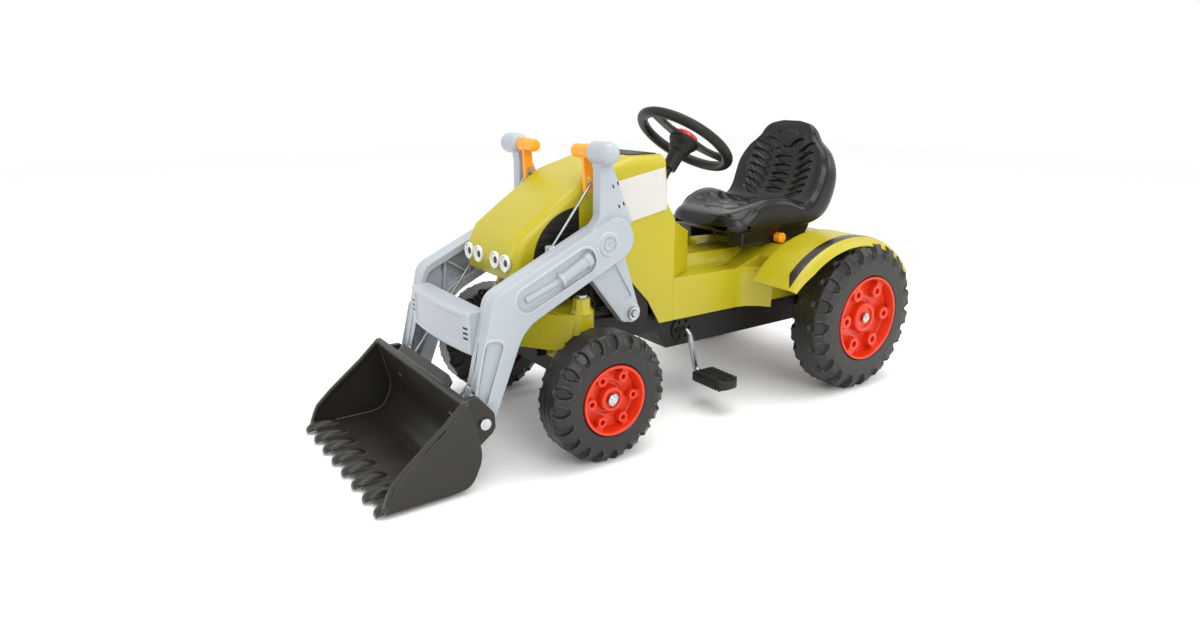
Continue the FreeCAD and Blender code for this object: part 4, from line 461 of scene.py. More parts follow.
tyreLook = Look(
    notches=20, notchHalf=0.092, notchReach=0.155, notchTaper=0.62, notchFlat=0.25, notchDepth=6.4,
    notchSlope=2.4, notchIn=0.5, notchDown=0.6, ridge=1.5, ridgeHalf=1.2, ridgeOut=1.1, shoulder=19.0,
    steps=34, gap=2.0, partLine=7.0, partHalf=1.3, partRise=0.8, fit=0.2, bead=4.0, wall=0.9, belly=0.4,
    brow=(2.6, 1.05), crown=(0.8, 1.4), corners=(0, 3, 40, 7, 8))
rimLook = Look(
    lip=6.0, dish=24.0, floorWall=6.0, bore=6.1, steps=96, hubShare=0.37, hubRise=17.0, hubGroove=3.0,
    bossCount=6, bossHole=6.5, holeScale=(93, 97), bossShare=0.28, bossShort=7.0, bossOut=3.0, bossSteps=28,
    webShare=0.7, webStart=0.6)


def wheelSpace(node, side):
    # radius, width and the middle of the inner face
    low, high = boxOf(node)
    hub = ((low.x + high.x) / 2, low.y if side > 0 else high.y, (low.z + high.z) / 2)
    return (high.x - low.x) / 2, high.y - low.y, hub


def notchLift(along, across, radius):
    # height of the tyre's skin about a shoulder notch: a six-sided hollow with a thin raised outline
    look = tyreLook
    half, reach = look.notchHalf * radius, look.notchReach * radius
    lean = look.notchTaper * half / (reach * (1 - look.notchFlat))
    room = half - lean * max(0.0, abs(along) - reach * look.notchFlat)
    inside = min((room - abs(across)) / math.hypot(1, lean), reach - abs(along))
    outline = math.exp(-((inside + look.ridgeOut) / look.ridgeHalf) ** 2)
    return look.ridge * outline - look.notchDepth * eased(inside / look.notchSlope)


def tyre(end, name, side):
    look = tyreLook
    node = f"{end}_{name}_tyre"
    radius, width, hub = wheelSpace(node, side)
    bore = wheelSpace(f"{end}_{name}_rim", side)[0] + look.fit
    arc = look.shoulder
    half = [(width - look.bead, bore), (width - look.wall, bore + look.bead),
            (width - look.wall, bore + (radius - bore) * look.belly),
            (width - look.brow[0], radius - arc * look.brow[1]),
            (width - arc * look.crown[0], radius - look.crown[1])]
    outline = [(width - a, r) for a, r in half] + half[::-1]
    section = spread(rounded(outline, look.corners + look.corners[::-1], 5), look.gap)
    reach, runs = lengths(section), headings(section)
    crown = reach[-1] / 2
    middles = []
    for across in (arc * look.notchIn + look.wall, width - arc * look.notchIn - look.wall):
        spot = Vector((across, radius - arc * look.notchDown))
        middles.append(reach[min(range(len(section)), key=lambda at: (section[at] - spot).length)])
    rows = []
    pitch = 2 * math.pi / look.notches
    for step in range(look.steps + 1):
        angle = pitch * (step / look.steps - 0.5)
        row = []
        for here, run, at in zip(section, runs, reach):
            lift = sum(notchLift(at - middle, angle * radius, radius) for middle in middles)
            lift += look.partRise * math.exp(-((abs(at - crown) - look.partLine) / look.partHalf) ** 2)
            a, r = here.x - run.y * lift, here.y + run.x * lift
            row.append((r * math.cos(angle), side * a, r * math.sin(angle)))
        rows.append(row)
    sector, bm = bmesh.new(), bmesh.new()
    loft(sector, rows, capEnds=False)
    repeated(bm, sector, look.notches, rubberBlack, pitch, place=hub)
    addPiece(f"tyre_{end}_{name}", bm, rubberBlack, bodyOf(node), "tyre_plastic", (node,), weighted=False, sharp=65)


def rim(end, name, side):
    look = rimLook
    node = f"{end}_{name}_rim"
    radius, width, hub = wheelSpace(node, side)
    lip, hubRadius = radius - look.lip, radius * look.hubShare
    dish = width - look.dish
    under, groove, top = dish - look.floorWall, dish - look.hubGroove, dish + look.hubRise
    bm, boss = bmesh.new(), bmesh.new()
    section = [(0, radius, 1), (0, lip - 2, 1), (under, lip - 3, 1), (under, look.bore, 0), (top - 6, look.bore, 0.5),
               (top - 6, hubRadius * 0.62, 1), (top, hubRadius * 0.66, 2.5), (top - 2, hubRadius * 0.95, 5),
               (groove, hubRadius, 1), (groove, hubRadius + 5, 1), (dish, hubRadius + 6, 1.5), (dish, lip - 5, 4),
               (width - 2.5, lip, 1.5), (width, lip + 1, 1.6), (width, radius - 0.5, 1.2)]
    spin(bm, cornered(section, 4), look.steps, hub, side)
    pitchRadius = (hubRadius + lip) / 2 + look.bossOut
    bossRadius = (lip - hubRadius) * look.bossShare
    height = look.dish - look.bossShort
    topHole, lowHole = (look.bossHole * radius / scale for scale in look.holeScale)
    ring = cornered([(-1, bossRadius + 1, 0), (height, bossRadius, 2), (height, topHole, 1.5), (-1, lowHole, 0)], 4)
    spin(boss, [(dish + a, r) for a, r in ring], look.bossSteps, (pitchRadius, 0, 0), side)
    web = bossRadius * look.webShare                         # web from the boss into the barrel wall
    start = pitchRadius + bossRadius * look.webStart
    depth = [(start, 0), (lip - 1.5, 0), (lip + 0.5, height - 2), (start, height - 1)]
    loft(boss, [[(x, side * (dish + a), z) for x, a in depth] for z in (-web, web)])
    repeated(bm, boss, look.bossCount, redOrange, 2 * math.pi / look.bossCount, place=hub)
    addPiece(f"rim_{end}_{name}", bm, redOrange, bodyOf(node), "rim_plastic", (node,))


for name, side in sides:
    for end in ("front", "rear"):
        tyre(end, name, side)
        rim(end, name, side)
print("wheels made")


# Seat: one closed skin through sections of a bent shell, with scooped lens marks and a piped edge

seatLook = Look(
    rows=200, top=110, under=24, corner=17.0, cornerShare=0.45, frontCorner=40.0, frontRoll=(105, 70), crest=1.3,
    lensDepth=6.0, lensEnds=1.6, piping=2.4, pipingHalf=2.2, pipingIn=0.6, pipingDish=6,
    floorHalf=46.0, brimLeast=8, plumpEnds=12.0, narrowEnds=0.9, bend=(-424, 384),
    # rows of scooped lenses: start of the run, first, pitch, count, across, length, half width, turn, share of depth
    marks=(("bend", 30, 21, 6, 0, 35, 9.2, 0, 1), ("bend", 20, 20, 7, 66, 32, 8.8, 0.42, 1),
           ("front", 56, 36, 5, 0, 36, 15, 0, 0.5), ("front", 72, 36, 4, 60, 32, 13, 0.5, 0.5),
           ("head", -52, 0, 1, 32, 27, 8, 0.45, 0.9), ("head", -30, 0, 1, 0, 36, 9, 0, 0.7)),
    # front lip to head: underside x, z, upper side x, z, half width, depth of the dish, bulge of the rear
    stations=((-194, 357, -193, 366, 44, 0, 0), (-199, 352, -196, 376, 72, 0, 0), (-208, 349, -203, 384, 92, 0, 0),
              (-224, 348, -216, 390, 107, 1, 0), (-246, 348, -238, 395, 114, 3, 0), (-270, 349, -264, 404, 118, 9, 0),
              (-300, 350, -296, 415, 121, 19, 0), (-334, 351, -330, 418, 124, 22, 0),
              (-370, 352, -362, 412, 127, 18, 0), (-404, 353, -388, 401, 131, 7, 0),
              (-438, 362, -408, 406, 134, 4, 5), (-464, 384, -424, 424, 136, 9, 20),
              (-479, 424, -436, 452, 138, 15, 30), (-487, 466, -446, 482, 135, 16, 29),
              (-491, 503, -456, 512, 118, 11, 22), (-491, 530, -463, 537, 88, 5, 15), (-489, 549, -468, 553, 77, 1, 9),
              (-486, 560, -472, 562, 68, 0, 5), (-484, 568, -476, 569, 54, 0, 2), (-481, 574, -479, 574.5, 26, 0, 0)))


def smoothRun(points, count, fineness=24):
    # points spread along a smooth curve through the given ones
    fine = []
    for at in range(len(points) - 1):
        p0, p1 = points[max(at - 1, 0)], points[at]
        p2, p3 = points[at + 1], points[min(at + 2, len(points) - 1)]
        for step in range(fineness):
            t = step / fineness
            fine.append([0.5 * (2 * b + (c - a) * t + (2 * a - 5 * b + 4 * c - d) * t * t
                                + (3 * b - a - 3 * c + d) * t ** 3) for a, b, c, d in zip(p0, p1, p2, p3)])
    fine.append(list(points[-1]))
    reach = lengths(fine)
    run = []
    at = 0
    for step in range(count):
        want = reach[-1] * step / (count - 1)
        while at < len(reach) - 2 and reach[at + 1] < want:
            at += 1
        share = (want - reach[at]) / max(1e-9, reach[at + 1] - reach[at])
        run.append([a + (b - a) * share for a, b in zip(fine[at], fine[at + 1])])
    return run, reach[-1]


def seatMarks(starts):
    marks = []
    for start, first, pitch, count, across, length, half, turn, depth in seatLook.marks:
        for side in ((-1, 1) if across else (1,)):
            marks += [(starts[start] + first + step * pitch, side * across, length, half, side * turn,
                       depth * seatLook.lensDepth) for step in range(count)]
    return marks


def scoopDepth(along, across, marks):
    deepest = 0.0
    for u, v, length, half, turn, depth in marks:
        du, dv = along - u, across - v
        p = dv * math.cos(turn) + du * math.sin(turn)
        q = du * math.cos(turn) - dv * math.sin(turn)
        room = half * (1 - (p / length) ** 2)
        if abs(p) < length and abs(q) < room:
            deepest = max(deepest, depth * math.sqrt(1 - (q / room) ** 2) * min(1, room / half * seatLook.lensEnds))
    return deepest


def quarter(radius, over):
    return math.sqrt(max(0.0, radius ** 2 - over ** 2))


def seatShell():
    look = seatLook
    spine = [((ux + tx) / 2, (uz + tz) / 2, tx - ux, tz - uz, *rest) for ux, uz, tx, tz, *rest in look.stations]
    run, length = smoothRun(spine, look.rows)
    last = len(run) - 1
    bend = length * min(range(len(run)), key=lambda at: math.dist(run[at][:2], look.bend)) / last
    marks = seatMarks({"front": 0, "bend": bend, "head": length})
    bm = bmesh.new()
    rows = []
    for at, (x, z, leanX, leanZ, half, dish, bulge) in enumerate(run):
        tall = math.hypot(leanX, leanZ)
        up = Vector((leanX, leanZ)) / tall
        along = length * at / last
        ends = min(1, (along + 1) / look.plumpEnds, (length - along + 1) / look.plumpEnds)
        plump = quarter(1, 1 - ends)
        half *= look.narrowEnds + (1 - look.narrowEnds) * plump
        corner = min(look.corner, tall * look.cornerShare)
        front = min(look.frontCorner, tall - 2) * eased((look.frontRoll[0] - along) / look.frontRoll[1])
        roll = max(corner, front)                              # the front corners roll down
        brim = max(look.brimLeast, half - corner * look.crest - look.floorHalf)
        row = []
        for step in range(look.top + 1):
            y = half * math.cos(math.pi * step / look.top)
            rise = tall - roll + quarter(roll, max(0.0, abs(y) - half + roll))
            rise -= dish * (1 - eased((abs(y) - look.floorHalf) / brim))
            pipe = math.exp(-((abs(y) - half + corner * look.pipingIn) / look.pipingHalf) ** 2)
            rise += look.piping * pipe * min(1, dish / look.pipingDish)
            row.append((y, rise - scoopDepth(along, y, marks)))
        for step in range(look.under + 1):
            y = -half * math.cos(math.pi * step / look.under)
            swell = bulge * math.sqrt(max(0.0, 1 - abs(y / half) ** 3))
            row.append((y, corner - quarter(corner, max(0.0, abs(y) - half + corner)) - swell))
        rows.append([(x + up.x * (h - tall / 2) * plump, y, z + up.y * (h - tall / 2) * plump) for y, h in row])
    loft(bm, rows)
    addPiece("seat_shell_moulded", bm, gloss, "seat", "seat_plastic", ("seat_shell",), weighted=False, sharp=60)


seatShell()
print("seat made")


# Steering wheel with three spokes, in the frame of its own axis, and its horn button

wheelLook = Look(
    ring=100.0, gripWide=12.0, gripTall=10.3, gripSteps=20, flat=0.06, flatTurn=0.5, steps=96,
    spokeTurns=(0, 130, 230), spokeShares=(0.0, 0.15, 0.35, 0.6, 0.85, 1.0), spokeHalf=17.0, spokeWall=8.0,
    spokeIn=5, spokeOut=2, spokeFlare=1.25, spokeWaist=0.4125, spokeTop=0.8, ribShort=9,
    spokeDrop=3.5, ribShares=(0.12, 0.3, 0.5, 0.7, 0.9),
    rib=((-2.6, -1), (-1.6, 1.6), (1.6, 1.6), (2.6, -1)), hub=32.0, hubTop=2.5, hubDepth=72.0, neck=22.0,
    neckEnd=15.0, horn=25.0, hornTop=15.0, hubSteps=64, hornSteps=56)


def spoke(bm, degrees):
    look = wheelLook
    angle = math.radians(degrees)
    out = Vector((math.cos(angle), math.sin(angle), 0))
    across = Vector((-math.sin(angle), math.cos(angle), 0))
    wall = look.spokeWall / 2
    rows, ribRows = [], []
    for share in look.spokeShares:
        r = look.hub - look.spokeIn + (look.ring - look.hub + look.spokeIn + look.spokeOut) * share
        half = look.spokeHalf * (look.spokeFlare - look.spokeWaist * math.sin(math.pi * share) ** 0.8)
        drop = -look.spokeDrop * math.sin(math.pi * share)
        top = half * look.spokeTop
        ring = rounded([(-half, -wall), (half, -wall), (top, wall), (-top, wall)], 2.5, 3)
        rows.append([out * r + across * u + Vector((0, 0, v + drop)) for u, v in ring])
    loft(bm, rows)
    for share in look.ribShares:                               # raised rib along the spoke
        r = look.hub + (look.ring - look.hub - look.ribShort) * share
        top = wall - look.spokeDrop * math.sin(math.pi * share)
        ribRows.append([out * r + across * u + Vector((0, 0, top + v)) for u, v in look.rib])
    loft(bm, ribRows)


def steeringWheel():
    look = wheelLook
    axis = Vector(jointOf("steering_turn")["axis"]).normalized()
    if axis.z < 0:
        axis = -axis
    ahead = Vector((0, 1, 0)).cross(axis).normalized()
    turn = Matrix((ahead, Vector((0, 1, 0)), axis)).transposed().to_4x4()
    stand = Matrix.Translation(jointSpot("steering_turn")) @ turn
    bm, button = bmesh.new(), bmesh.new()
    section = []
    for angle in turns(look.gripSteps):
        notch = 1 - look.flat * max(0.0, math.cos(angle * 2 + look.flatTurn))      # flattened inner faces of the grip
        section.append((look.ring + look.gripWide * math.cos(angle) * notch, look.gripTall * math.sin(angle) * notch))
    turned(bm, section, look.steps, Matrix(), closed=True)
    hub = [(axisRadius, -look.hubDepth, 0), (look.neckEnd, -look.hubDepth, 2), (look.neckEnd + 2, -34, 6),
           (look.neck, -28, 5), (look.neck + 3, -18, 6), (look.hub, -8, 6), (look.hub, look.hubTop, 2),
           (look.hub - 3, look.hubTop, 1), (look.horn + 1, look.hubTop - 1, 0.5), (look.horn + 1, -7, 0.5),
           (axisRadius, -7, 0)]
    turned(bm, cornered(hub, 4), look.hubSteps, Matrix())
    for degrees in look.spokeTurns:
        spoke(bm, degrees)
    bmesh.ops.transform(bm, matrix=stand, verts=bm.verts)
    addPiece("steering_wheel_moulded", bm, matt, "steering", "wheel_plastic", ("steering_wheel",))
    horn, top = look.horn, look.hornTop
    turned(button, cornered([(axisRadius, -3, 0), (horn, -3, 1), (horn, top - 3, 3), (horn - 5, top - 0.6, 6),
                             (axisRadius, top, 0)], 5), look.hornSteps, stand)
    addPiece("horn_button_moulded", button, red, "horn", "horn_plastic", ("horn_button",))


steeringWheel()
print("steering wheel made")


# Loader arms: a grey box beam with pockets, a moulded cylinder, a leg, a lever with its slots drawn as dark sheets of
# painted shade, and a grip with an orange knob

lift = jointSpot("loader_lift")
pin = jointSpot("bucket_dump")
heel = Vector((lift.x + 56, 0, lift.z + 153))
elbow = Vector((heel.x + 250, 0, heel.z - 74))
gripSpot = Vector((heel.x + 26, 0, heel.z + 151))
anchors = {"lift": lift, "pin": pin, "heel": heel, "elbow": elbow, "grip": gripSpot}
beamTurn = Vector((0.907, -0.421))                           # run of the upper beam in XZ
beamUp = Vector((0.421, 0.907))
armLook = Look(
    inner=124.0, outer=165.0, parting=141.0, web=148.0, floor=158.0, edge=2.2, bead=4.0, beadRise=(1.4, 0.5),
    legIn=118.2, legOut=139.8, leverIn=132.0, leverOut=157.0, ribs=7, ribFirst=20, ribPitch=32, ribRun=30, ribReach=24,
    ribHalf=1.3, grip=20.0, gripInner=128.0, gripOuter=173.0, gripBore=5.3, domeSteps=12, knobEnd=70.0, rodY=114.0,
    guides=(0.32, 0.69), guideHalf=8, boss=(20, -1), eyeBore=6.3, eye=18.8, lap=2.0,
    # rounding of the edges, and facets of what is turned
    thinEdge=0.5, beadEdge=0.7, hollowEdge=1.2, ribEdge=0.4, legEdge=2.0, leverEdge=2.6, guideEdge=1.0, slotEdge=0.2,
    rodSteps=24, bossSteps=48, eyeSteps=40, gripSteps=56, knobSteps=40,
    # outlines: anchor, right, up, corner radius
    beam=(("beam", -37, 37, 37), ("elbow", 0, 0, 34), ("pin", 21, -20.9, 20.8), ("pin", -21, -20.9, 20.8),
          ("elbow", -58, -62, 78), ("beam", -37, -40, 37)),
    pocket=(("beam", 54, 21, 20.5), ("beam", 226, 21, 20.5), ("beam", 226, -21, 20.5), ("beam", 54, -25, 20.5)),
    lowPocket=(("elbow", -19, -77, 11), ("elbow", 15, -72, 11), ("pin", 11, 24, 11), ("pin", -11, 22, 11)),
    hollow=(("beam", -20, 26, 24), ("elbow", -8, -12, 24), ("pin", 11, 30, 5), ("pin", -10, 26, 5),
            ("elbow", -46, -48, 60), ("beam", -22, -28, 24)),
    leg=(("heel", -14, 6, 6), ("heel", 50, -60, 8), ("lift", 20, -19.5, 18.5), ("lift", -20, -6, 18.5),
         ("heel", -38, -44, 20)),
    recess=(("heel", -6, -40, 4), ("heel", 30, -66, 4), ("lift", 19, 26, 4), ("lift", 2, 33, 4)),
    lever=(("heel", -26, 6, 4), ("heel", -41, 26, 9), ("grip", -39, -61, 30), ("grip", -27, -34, 30),
           ("grip", -17, -2, 4), ("grip", 9, -2, 4), ("grip", 4, -34, 30), ("heel", 31, 38, 20), ("heel", 62, 4, 5),
           ("heel", 10, -10, 5)),
    # round lengths on the pocket's floor: start, end, share of the run and radius
    cylinder=(((62, -3), (134, -6), ((0, 5), (0.02, 14.5), (0.16, 15), (0.18, 12.5), (0.9, 12), (0.92, 15), (1.0, 15),
                                     (1.01, 6))),
              ((132, -6), (208, 0), ((0, 5), (0.01, 7.5), (0.97, 7.5), (1.0, 4)))),
    # slots along the lever's rear edge, from the grip, drawn as dark sheets of painted shade
    slots=((-23.0, -59.0), (-33.0, -54.0), (-36.0, -95.0), (-46.0, -91.0)), slotRun=(0.42, 0.91), slotHalf=(3.6, 1.5))


def onBeam(along, up):
    spot = Vector((heel.x, heel.z)) + beamTurn * along + beamUp * up
    return (spot.x, spot.y)


def drawn(rows, steps):
    spots = []
    for anchor, right, up, corner in rows:
        base = anchors.get(anchor)
        spots.append((*((base.x + right, base.z + up) if base else onBeam(right, up)), corner))
    return cornered(spots, steps)


def loaderArm(name, side):
    look = armLook
    bm, slots, knob = bmesh.new(), bmesh.new(), bmesh.new()
    beam, pocket, lowPocket = drawn(look.beam, 10), drawn(look.pocket, 8), drawn(look.lowPocket, 6)
    sided(bm, look.parting - 1, look.outer, [beam, pocket, lowPocket], side, look.edge)
    sided(bm, look.web, look.floor, [inset(beam, -look.lap)], side, look.thinEdge)
    for hole, rise in zip((pocket, lowPocket), look.beadRise):      # raised bead round each pocket
        sided(bm, look.outer - 1.5, look.outer + rise, [inset(hole, look.bead), hole], side, look.beadEdge)
    sided(bm, look.inner, look.parting, [beam, drawn(look.hollow, 8)], side, look.hollowEdge)
    for rib in range(look.ribs):                               # criss-cross ribs inside the beam
        along, reach = look.ribFirst + rib * look.ribPitch, look.ribReach * (-1 if rib % 2 else 1)
        start, end = Vector(onBeam(along, reach)), Vector(onBeam(along + look.ribRun, -reach))
        normal = Vector((start.y - end.y, end.x - start.x)).normalized() * look.ribHalf
        outline = [start + normal, end + normal, end - normal, start - normal]
        sided(bm, look.inner + 5, look.web + 1, [outline], side, look.ribEdge)
    for start, end, radii in look.cylinder:
        ends = [Vector((x, side * look.floor, z)) for x, z in (onBeam(*start), onBeam(*end))]
        path = [ends[0].lerp(ends[1], share) for share, radius in radii]
        tube(bm, path, [radius for share, radius in radii], look.rodSteps)
    floor, outer = look.floor, look.outer
    ring = [(floor - 2, axisRadius, 0), (outer - 2, axisRadius, 0), (outer - 2, 5, 0.8), (outer + 2.6, 6, 1),
            (outer + 2.6, 9.5, 1), (outer, 11, 0.8), (outer, 13.5, 0.8), (outer + 3.6, 15, 1.2),
            (outer + 3.6, 20, 1.6), (outer - 0.5, 23, 0.5), (floor - 2, 23, 0)]
    boss = onBeam(*look.boss)
    spin(bm, cornered(ring, 3), look.bossSteps, (boss[0], 0, boss[1]), side, closed=False)
    leg = drawn(look.leg, 8)
    sided(bm, look.legIn, look.legOut, [leg, drawn(look.recess, 4)], side, look.legEdge)
    sided(bm, look.legIn + 5, look.legOut - 4, [inset(leg, -look.lap)], side, look.thinEdge)
    eye = [(look.legIn, look.eyeBore, 0), (look.legIn, look.eye, 1.5), (look.legOut + 0.1, look.eye, 2.5),
           (look.legOut + 0.1, look.eyeBore, 0)]
    spin(bm, cornered(eye, 4), look.eyeSteps, (lift.x, 0, lift.z), side)
    sided(bm, look.leverIn, look.leverOut, [drawn(look.lever, 5)], side, look.leverEdge)
    grip, inner, gripAxis = look.grip, look.gripInner, (gripSpot.x, 0, gripSpot.z)
    handle = [(inner, look.gripBore), (inner, grip * 0.72), (inner + 2, grip * 0.8), (inner + 5, grip * 0.82),
              (inner + 6.5, grip * 0.94), (inner + 9, grip)]
    for step in range(look.domeSteps + 1):                     # domed outer end
        angle = math.pi / 2 * step / look.domeSteps
        handle.append((look.gripOuter + grip * math.sin(angle), grip * math.cos(angle) + 0.001))
    handle += [(inner + 24, axisRadius), (inner + 24, look.gripBore)]
    spin(bm, handle, look.gripSteps, gripAxis, side)
    rodTop, rodLow = Vector((gripSpot.x - 4, gripSpot.z - 57)), Vector((pin.x + 13, pin.z + 30))
    half = look.guideHalf
    for share in look.guides:                                  # guides that carry the latch rod
        spot = rodTop.lerp(rodLow, share)
        guide = rounded(oblong(spot.x - half, spot.y - half, spot.x + half, spot.y + half), 3, 3)
        sided(bm, look.rodY - 5, look.inner + 4, [guide], side, look.guideEdge)
    addPiece(f"loader_arm_{name}_moulded", bm, grey, "loader", "loader_plastic", (f"loader_arm_{name}",))
    run = Vector(look.slotRun)
    along, across = run * look.slotHalf[0], Vector((run.y, -run.x)) * look.slotHalf[1]
    # each slot is a thin matt black sheet on the lever's face: painted shade in place of an opening
    for x, z in look.slots:
        spot = Vector((gripSpot.x + x, gripSpot.z + z))
        slot = [spot - along - across, spot + along - across, spot + along + across, spot - along + across]
        sided(slots, look.leverOut - 1, look.leverOut + 0.3, [rounded(slot, 1.2, 3)], side, look.slotEdge)
    addPiece(f"loader_arm_{name}_slots", slots, matt, "loader", "loader_plastic")
    profile = [(inner - 0.4, axisRadius, 0), (inner - 0.4, 11, 1), (inner - 4, 13.6, 2), (inner - 22, 13.6, 1.5),
               (inner - 24, 12.4, 1), (look.knobEnd, 12.4, 7), (look.knobEnd, axisRadius, 0)]
    spin(knob, cornered(profile, 5), look.knobSteps, gripAxis, side, closed=False)
    addPiece(f"trigger_{name}_knob", knob, orange, bodyOf(f"trigger_{name}"), "trigger_plastic")


for name, side in sides:
    loaderArm(name, side)
print("loader arms made")


# Bucket: a bent wall between two side plates, thick rims, claws, lugs and a spill guard

bucketLook = Look(
    half=205.0, wall=4.5, toothCount=8, toothHalf=11.5, rim=4.2, rimWide=10.5, rimThin=0.12, rimPlace=(42, 56),
    lugs=((165.7, 177.9, 50), (111.1, 123.3, 8)), toothSteps=16, toothRound=(0.6, 0.7),
    toothDraft=0.86, draftFrom=0.3, cheekEdge=1.6, lugEdge=1.8, bumpSteps=32, bumpPlace=(30, 40),
    # sections of a claw: from the lip, top, half width, underside
    tooth=((-52, 1.0, 7.0, 0), (-45, 8.0, 10.0, 0), (-34, 13.0, 11.4, 0), (-20, 15.0, 11.4, 0),
           (-7, 14.0, 11.0, -0.6), (3, 11.0, 10.4, -2.0), (8, 7.5, 9.6, -3.2), (11, 5.0, 9.0, -4.0),
           (12.6, 1.2, 7.0, -4.5)),
    # ends of the spill guard: share of the half width, drop
    guard=((-0.56, 9), (-0.52, 3), (-0.485, 0), (0.485, 0), (0.52, 3), (0.56, 9)))


def claw(tip, floor):
    look = bucketLook
    rows = []
    for x, top, wide, under in look.tooth:
        ring = []
        for angle in turns(look.toothSteps):
            c, s = math.cos(angle), math.sin(angle)
            u = math.copysign(abs(c) ** look.toothRound[0], c) * wide
            u *= look.toothDraft if s > look.draftFrom else 1
            v = (top + under) / 2 + math.copysign(abs(s) ** look.toothRound[1], s) * (top - under) / 2
            ring.append((tip + x, u, floor + v))
        rows.append(ring)
    tooth = bmesh.new()
    loft(tooth, rows)
    return tooth


def bucket():
    look = bucketLook
    low, high = boxOf("bucket")
    floor, tip = low.z + 5, high.x - 13
    half, wall = look.half, look.wall
    rimX, rimZ = pin.x + look.rimPlace[0], pin.z + look.rimPlace[1]
    bm = bmesh.new()
    skin = [(rimX, rimZ, 2), (pin.x + 17, pin.z - 46, 60), (pin.x + 40, floor + 4, 40), (pin.x + 74, floor, 60),
            (tip, floor, 2), (tip, floor + wall, 2), (pin.x + 72, floor + wall, 55),
            (pin.x + 42 + wall * 0.7, floor + 4 + wall, 36), (pin.x + 17 + wall, pin.z - 46, 55),
            (rimX + wall, rimZ, 2)]
    prism(bm, cornered(skin, 8), (-half + 2, half - 2))
    cheek = [(rimX - 1, rimZ + 2, 6), (pin.x + 16, pin.z - 46, 60), (pin.x + 40, floor + 3, 40),
             (pin.x + 74, floor, 60), (tip + 1, floor, 4), (tip - 2, floor + 16, 14), (tip - 14, floor + 40, 20)]
    run = [(rimX + 1, rimZ - 1), (rimX + 40, rimZ - 37), (tip - 44, floor + 67), (tip - 16, floor + 41),
           (tip - 9, floor + 28), (tip - 3, floor + 14), (tip, floor + 6)]
    for sign in (-1, 1):
        sided(bm, half - wall, half, [cornered(cheek, 8)], sign, look.cheekEdge)
        rows = []
        for at, ((x, z), ahead) in enumerate(zip(run, headings(run))):      # thick rim along the side plate's edge
            thick = look.rim * (1 if at < 4 else 1 - look.rimThin * (at - 3))
            ring = rounded([(half, -thick), (half, thick), (half - look.rimWide, thick),
                            (half - look.rimWide, -thick)], 2.2, 4)
            rows.append([(x - ahead.y * v, sign * y, z + ahead.x * v) for y, v in ring])
        loft(bm, rows)
    ring = [(rimX - 4.5, rimZ - 6), (rimX + 6.5, rimZ - 8), (rimX + 6.5, rimZ + 1.5), (rimX - 4.5, rimZ + 3)]
    prism(bm, rounded(ring, 2.2, 4), (-half + 3, half - 3))
    reach = half - look.toothHalf - wall + 1
    step = 2 * reach / (look.toothCount - 1)
    repeated(bm, claw(tip, floor), look.toothCount, umber, step=(0, step, 0), place=(0, -reach, 0))
    guard = cornered([(rimX - 17, rimZ + 13.5, 1.5), (rimX - 3, rimZ - 7, 2), (rimX + 3, rimZ - 3, 2),
                      (rimX - 13.5, rimZ + 15, 1.5)], 3)
    loft(bm, [[(x, half * share, z - drop) for x, z in guard] for share, drop in look.guard])
    for sign in (1, -1):
        for inner, outer, top in look.lugs:
            lug = [("pin", -21, -12, 10), ("pin", -14, -22, 10), ("pin", 16, -44, 3), ("pin", 24, -20, 3),
                   ("pin", 37, top, 3), ("pin", 10, top, 8), ("pin", -20, 14, 14)]
            sided(bm, inner, outer, [drawn(lug, 5)], sign, look.lugEdge)
        bump = cornered([(170, axisRadius, 0), (172.5, axisRadius, 0), (172.5, 8, 2), (168, 11, 0)], 4)
        spin(bm, bump, look.bumpSteps, (pin.x + look.bumpPlace[0], 0, pin.z + look.bumpPlace[1]), sign, closed=False)
    addPiece("bucket_moulded", bm, umber, "bucket_body", "bucket_plastic", ("bucket",))


bucket()
print("bucket made")


# Fenders: an arched skin with a rolled outer lip, an inner skirt and a dark film stripe

fenderLook = Look(
    ahead=37.0, drop=18.0, reach=67.0, over=36.0, front=33.0, rear=149.0, wall=3.6, steps=72,
    skirtSteps=48, skirtDepth=1.5, flare=16.0, flareShare=0.45, stripe=(2.0, 122.0), stripeWide=21.0,
    stripeEdge=17.0, stripeSteps=80, stripeLift=0.35, stripeSink=0.3, stripeStart=0.1, stripeThin=0.75,
    stripeTail=0.55, lipFrom=30, lipEnd=(1.6, 20.8), skirt=(0.05, 4, 0.6),
    # section across the outer shoulder: in from the outer edge, depth below the arch
    shoulder=((32, 0.4), (22, 0.8), (14, 2.6), (8, 6.5), (5, 11), (3.6, 15), (1.5, 17.5), (0.2, 18.6)))
rearAxle = jointSpot("rear_axle_spin")


def fenderPoint(turn, y, depth):
    look = fenderLook
    angle = math.radians(turn)
    long, rise = rearAxle.z + look.reach - depth, rearAxle.z + look.over - depth
    return Vector((rearAxle.x + look.ahead + long * math.cos(angle), y,
                   rearAxle.z - look.drop + rise * math.sin(angle)))


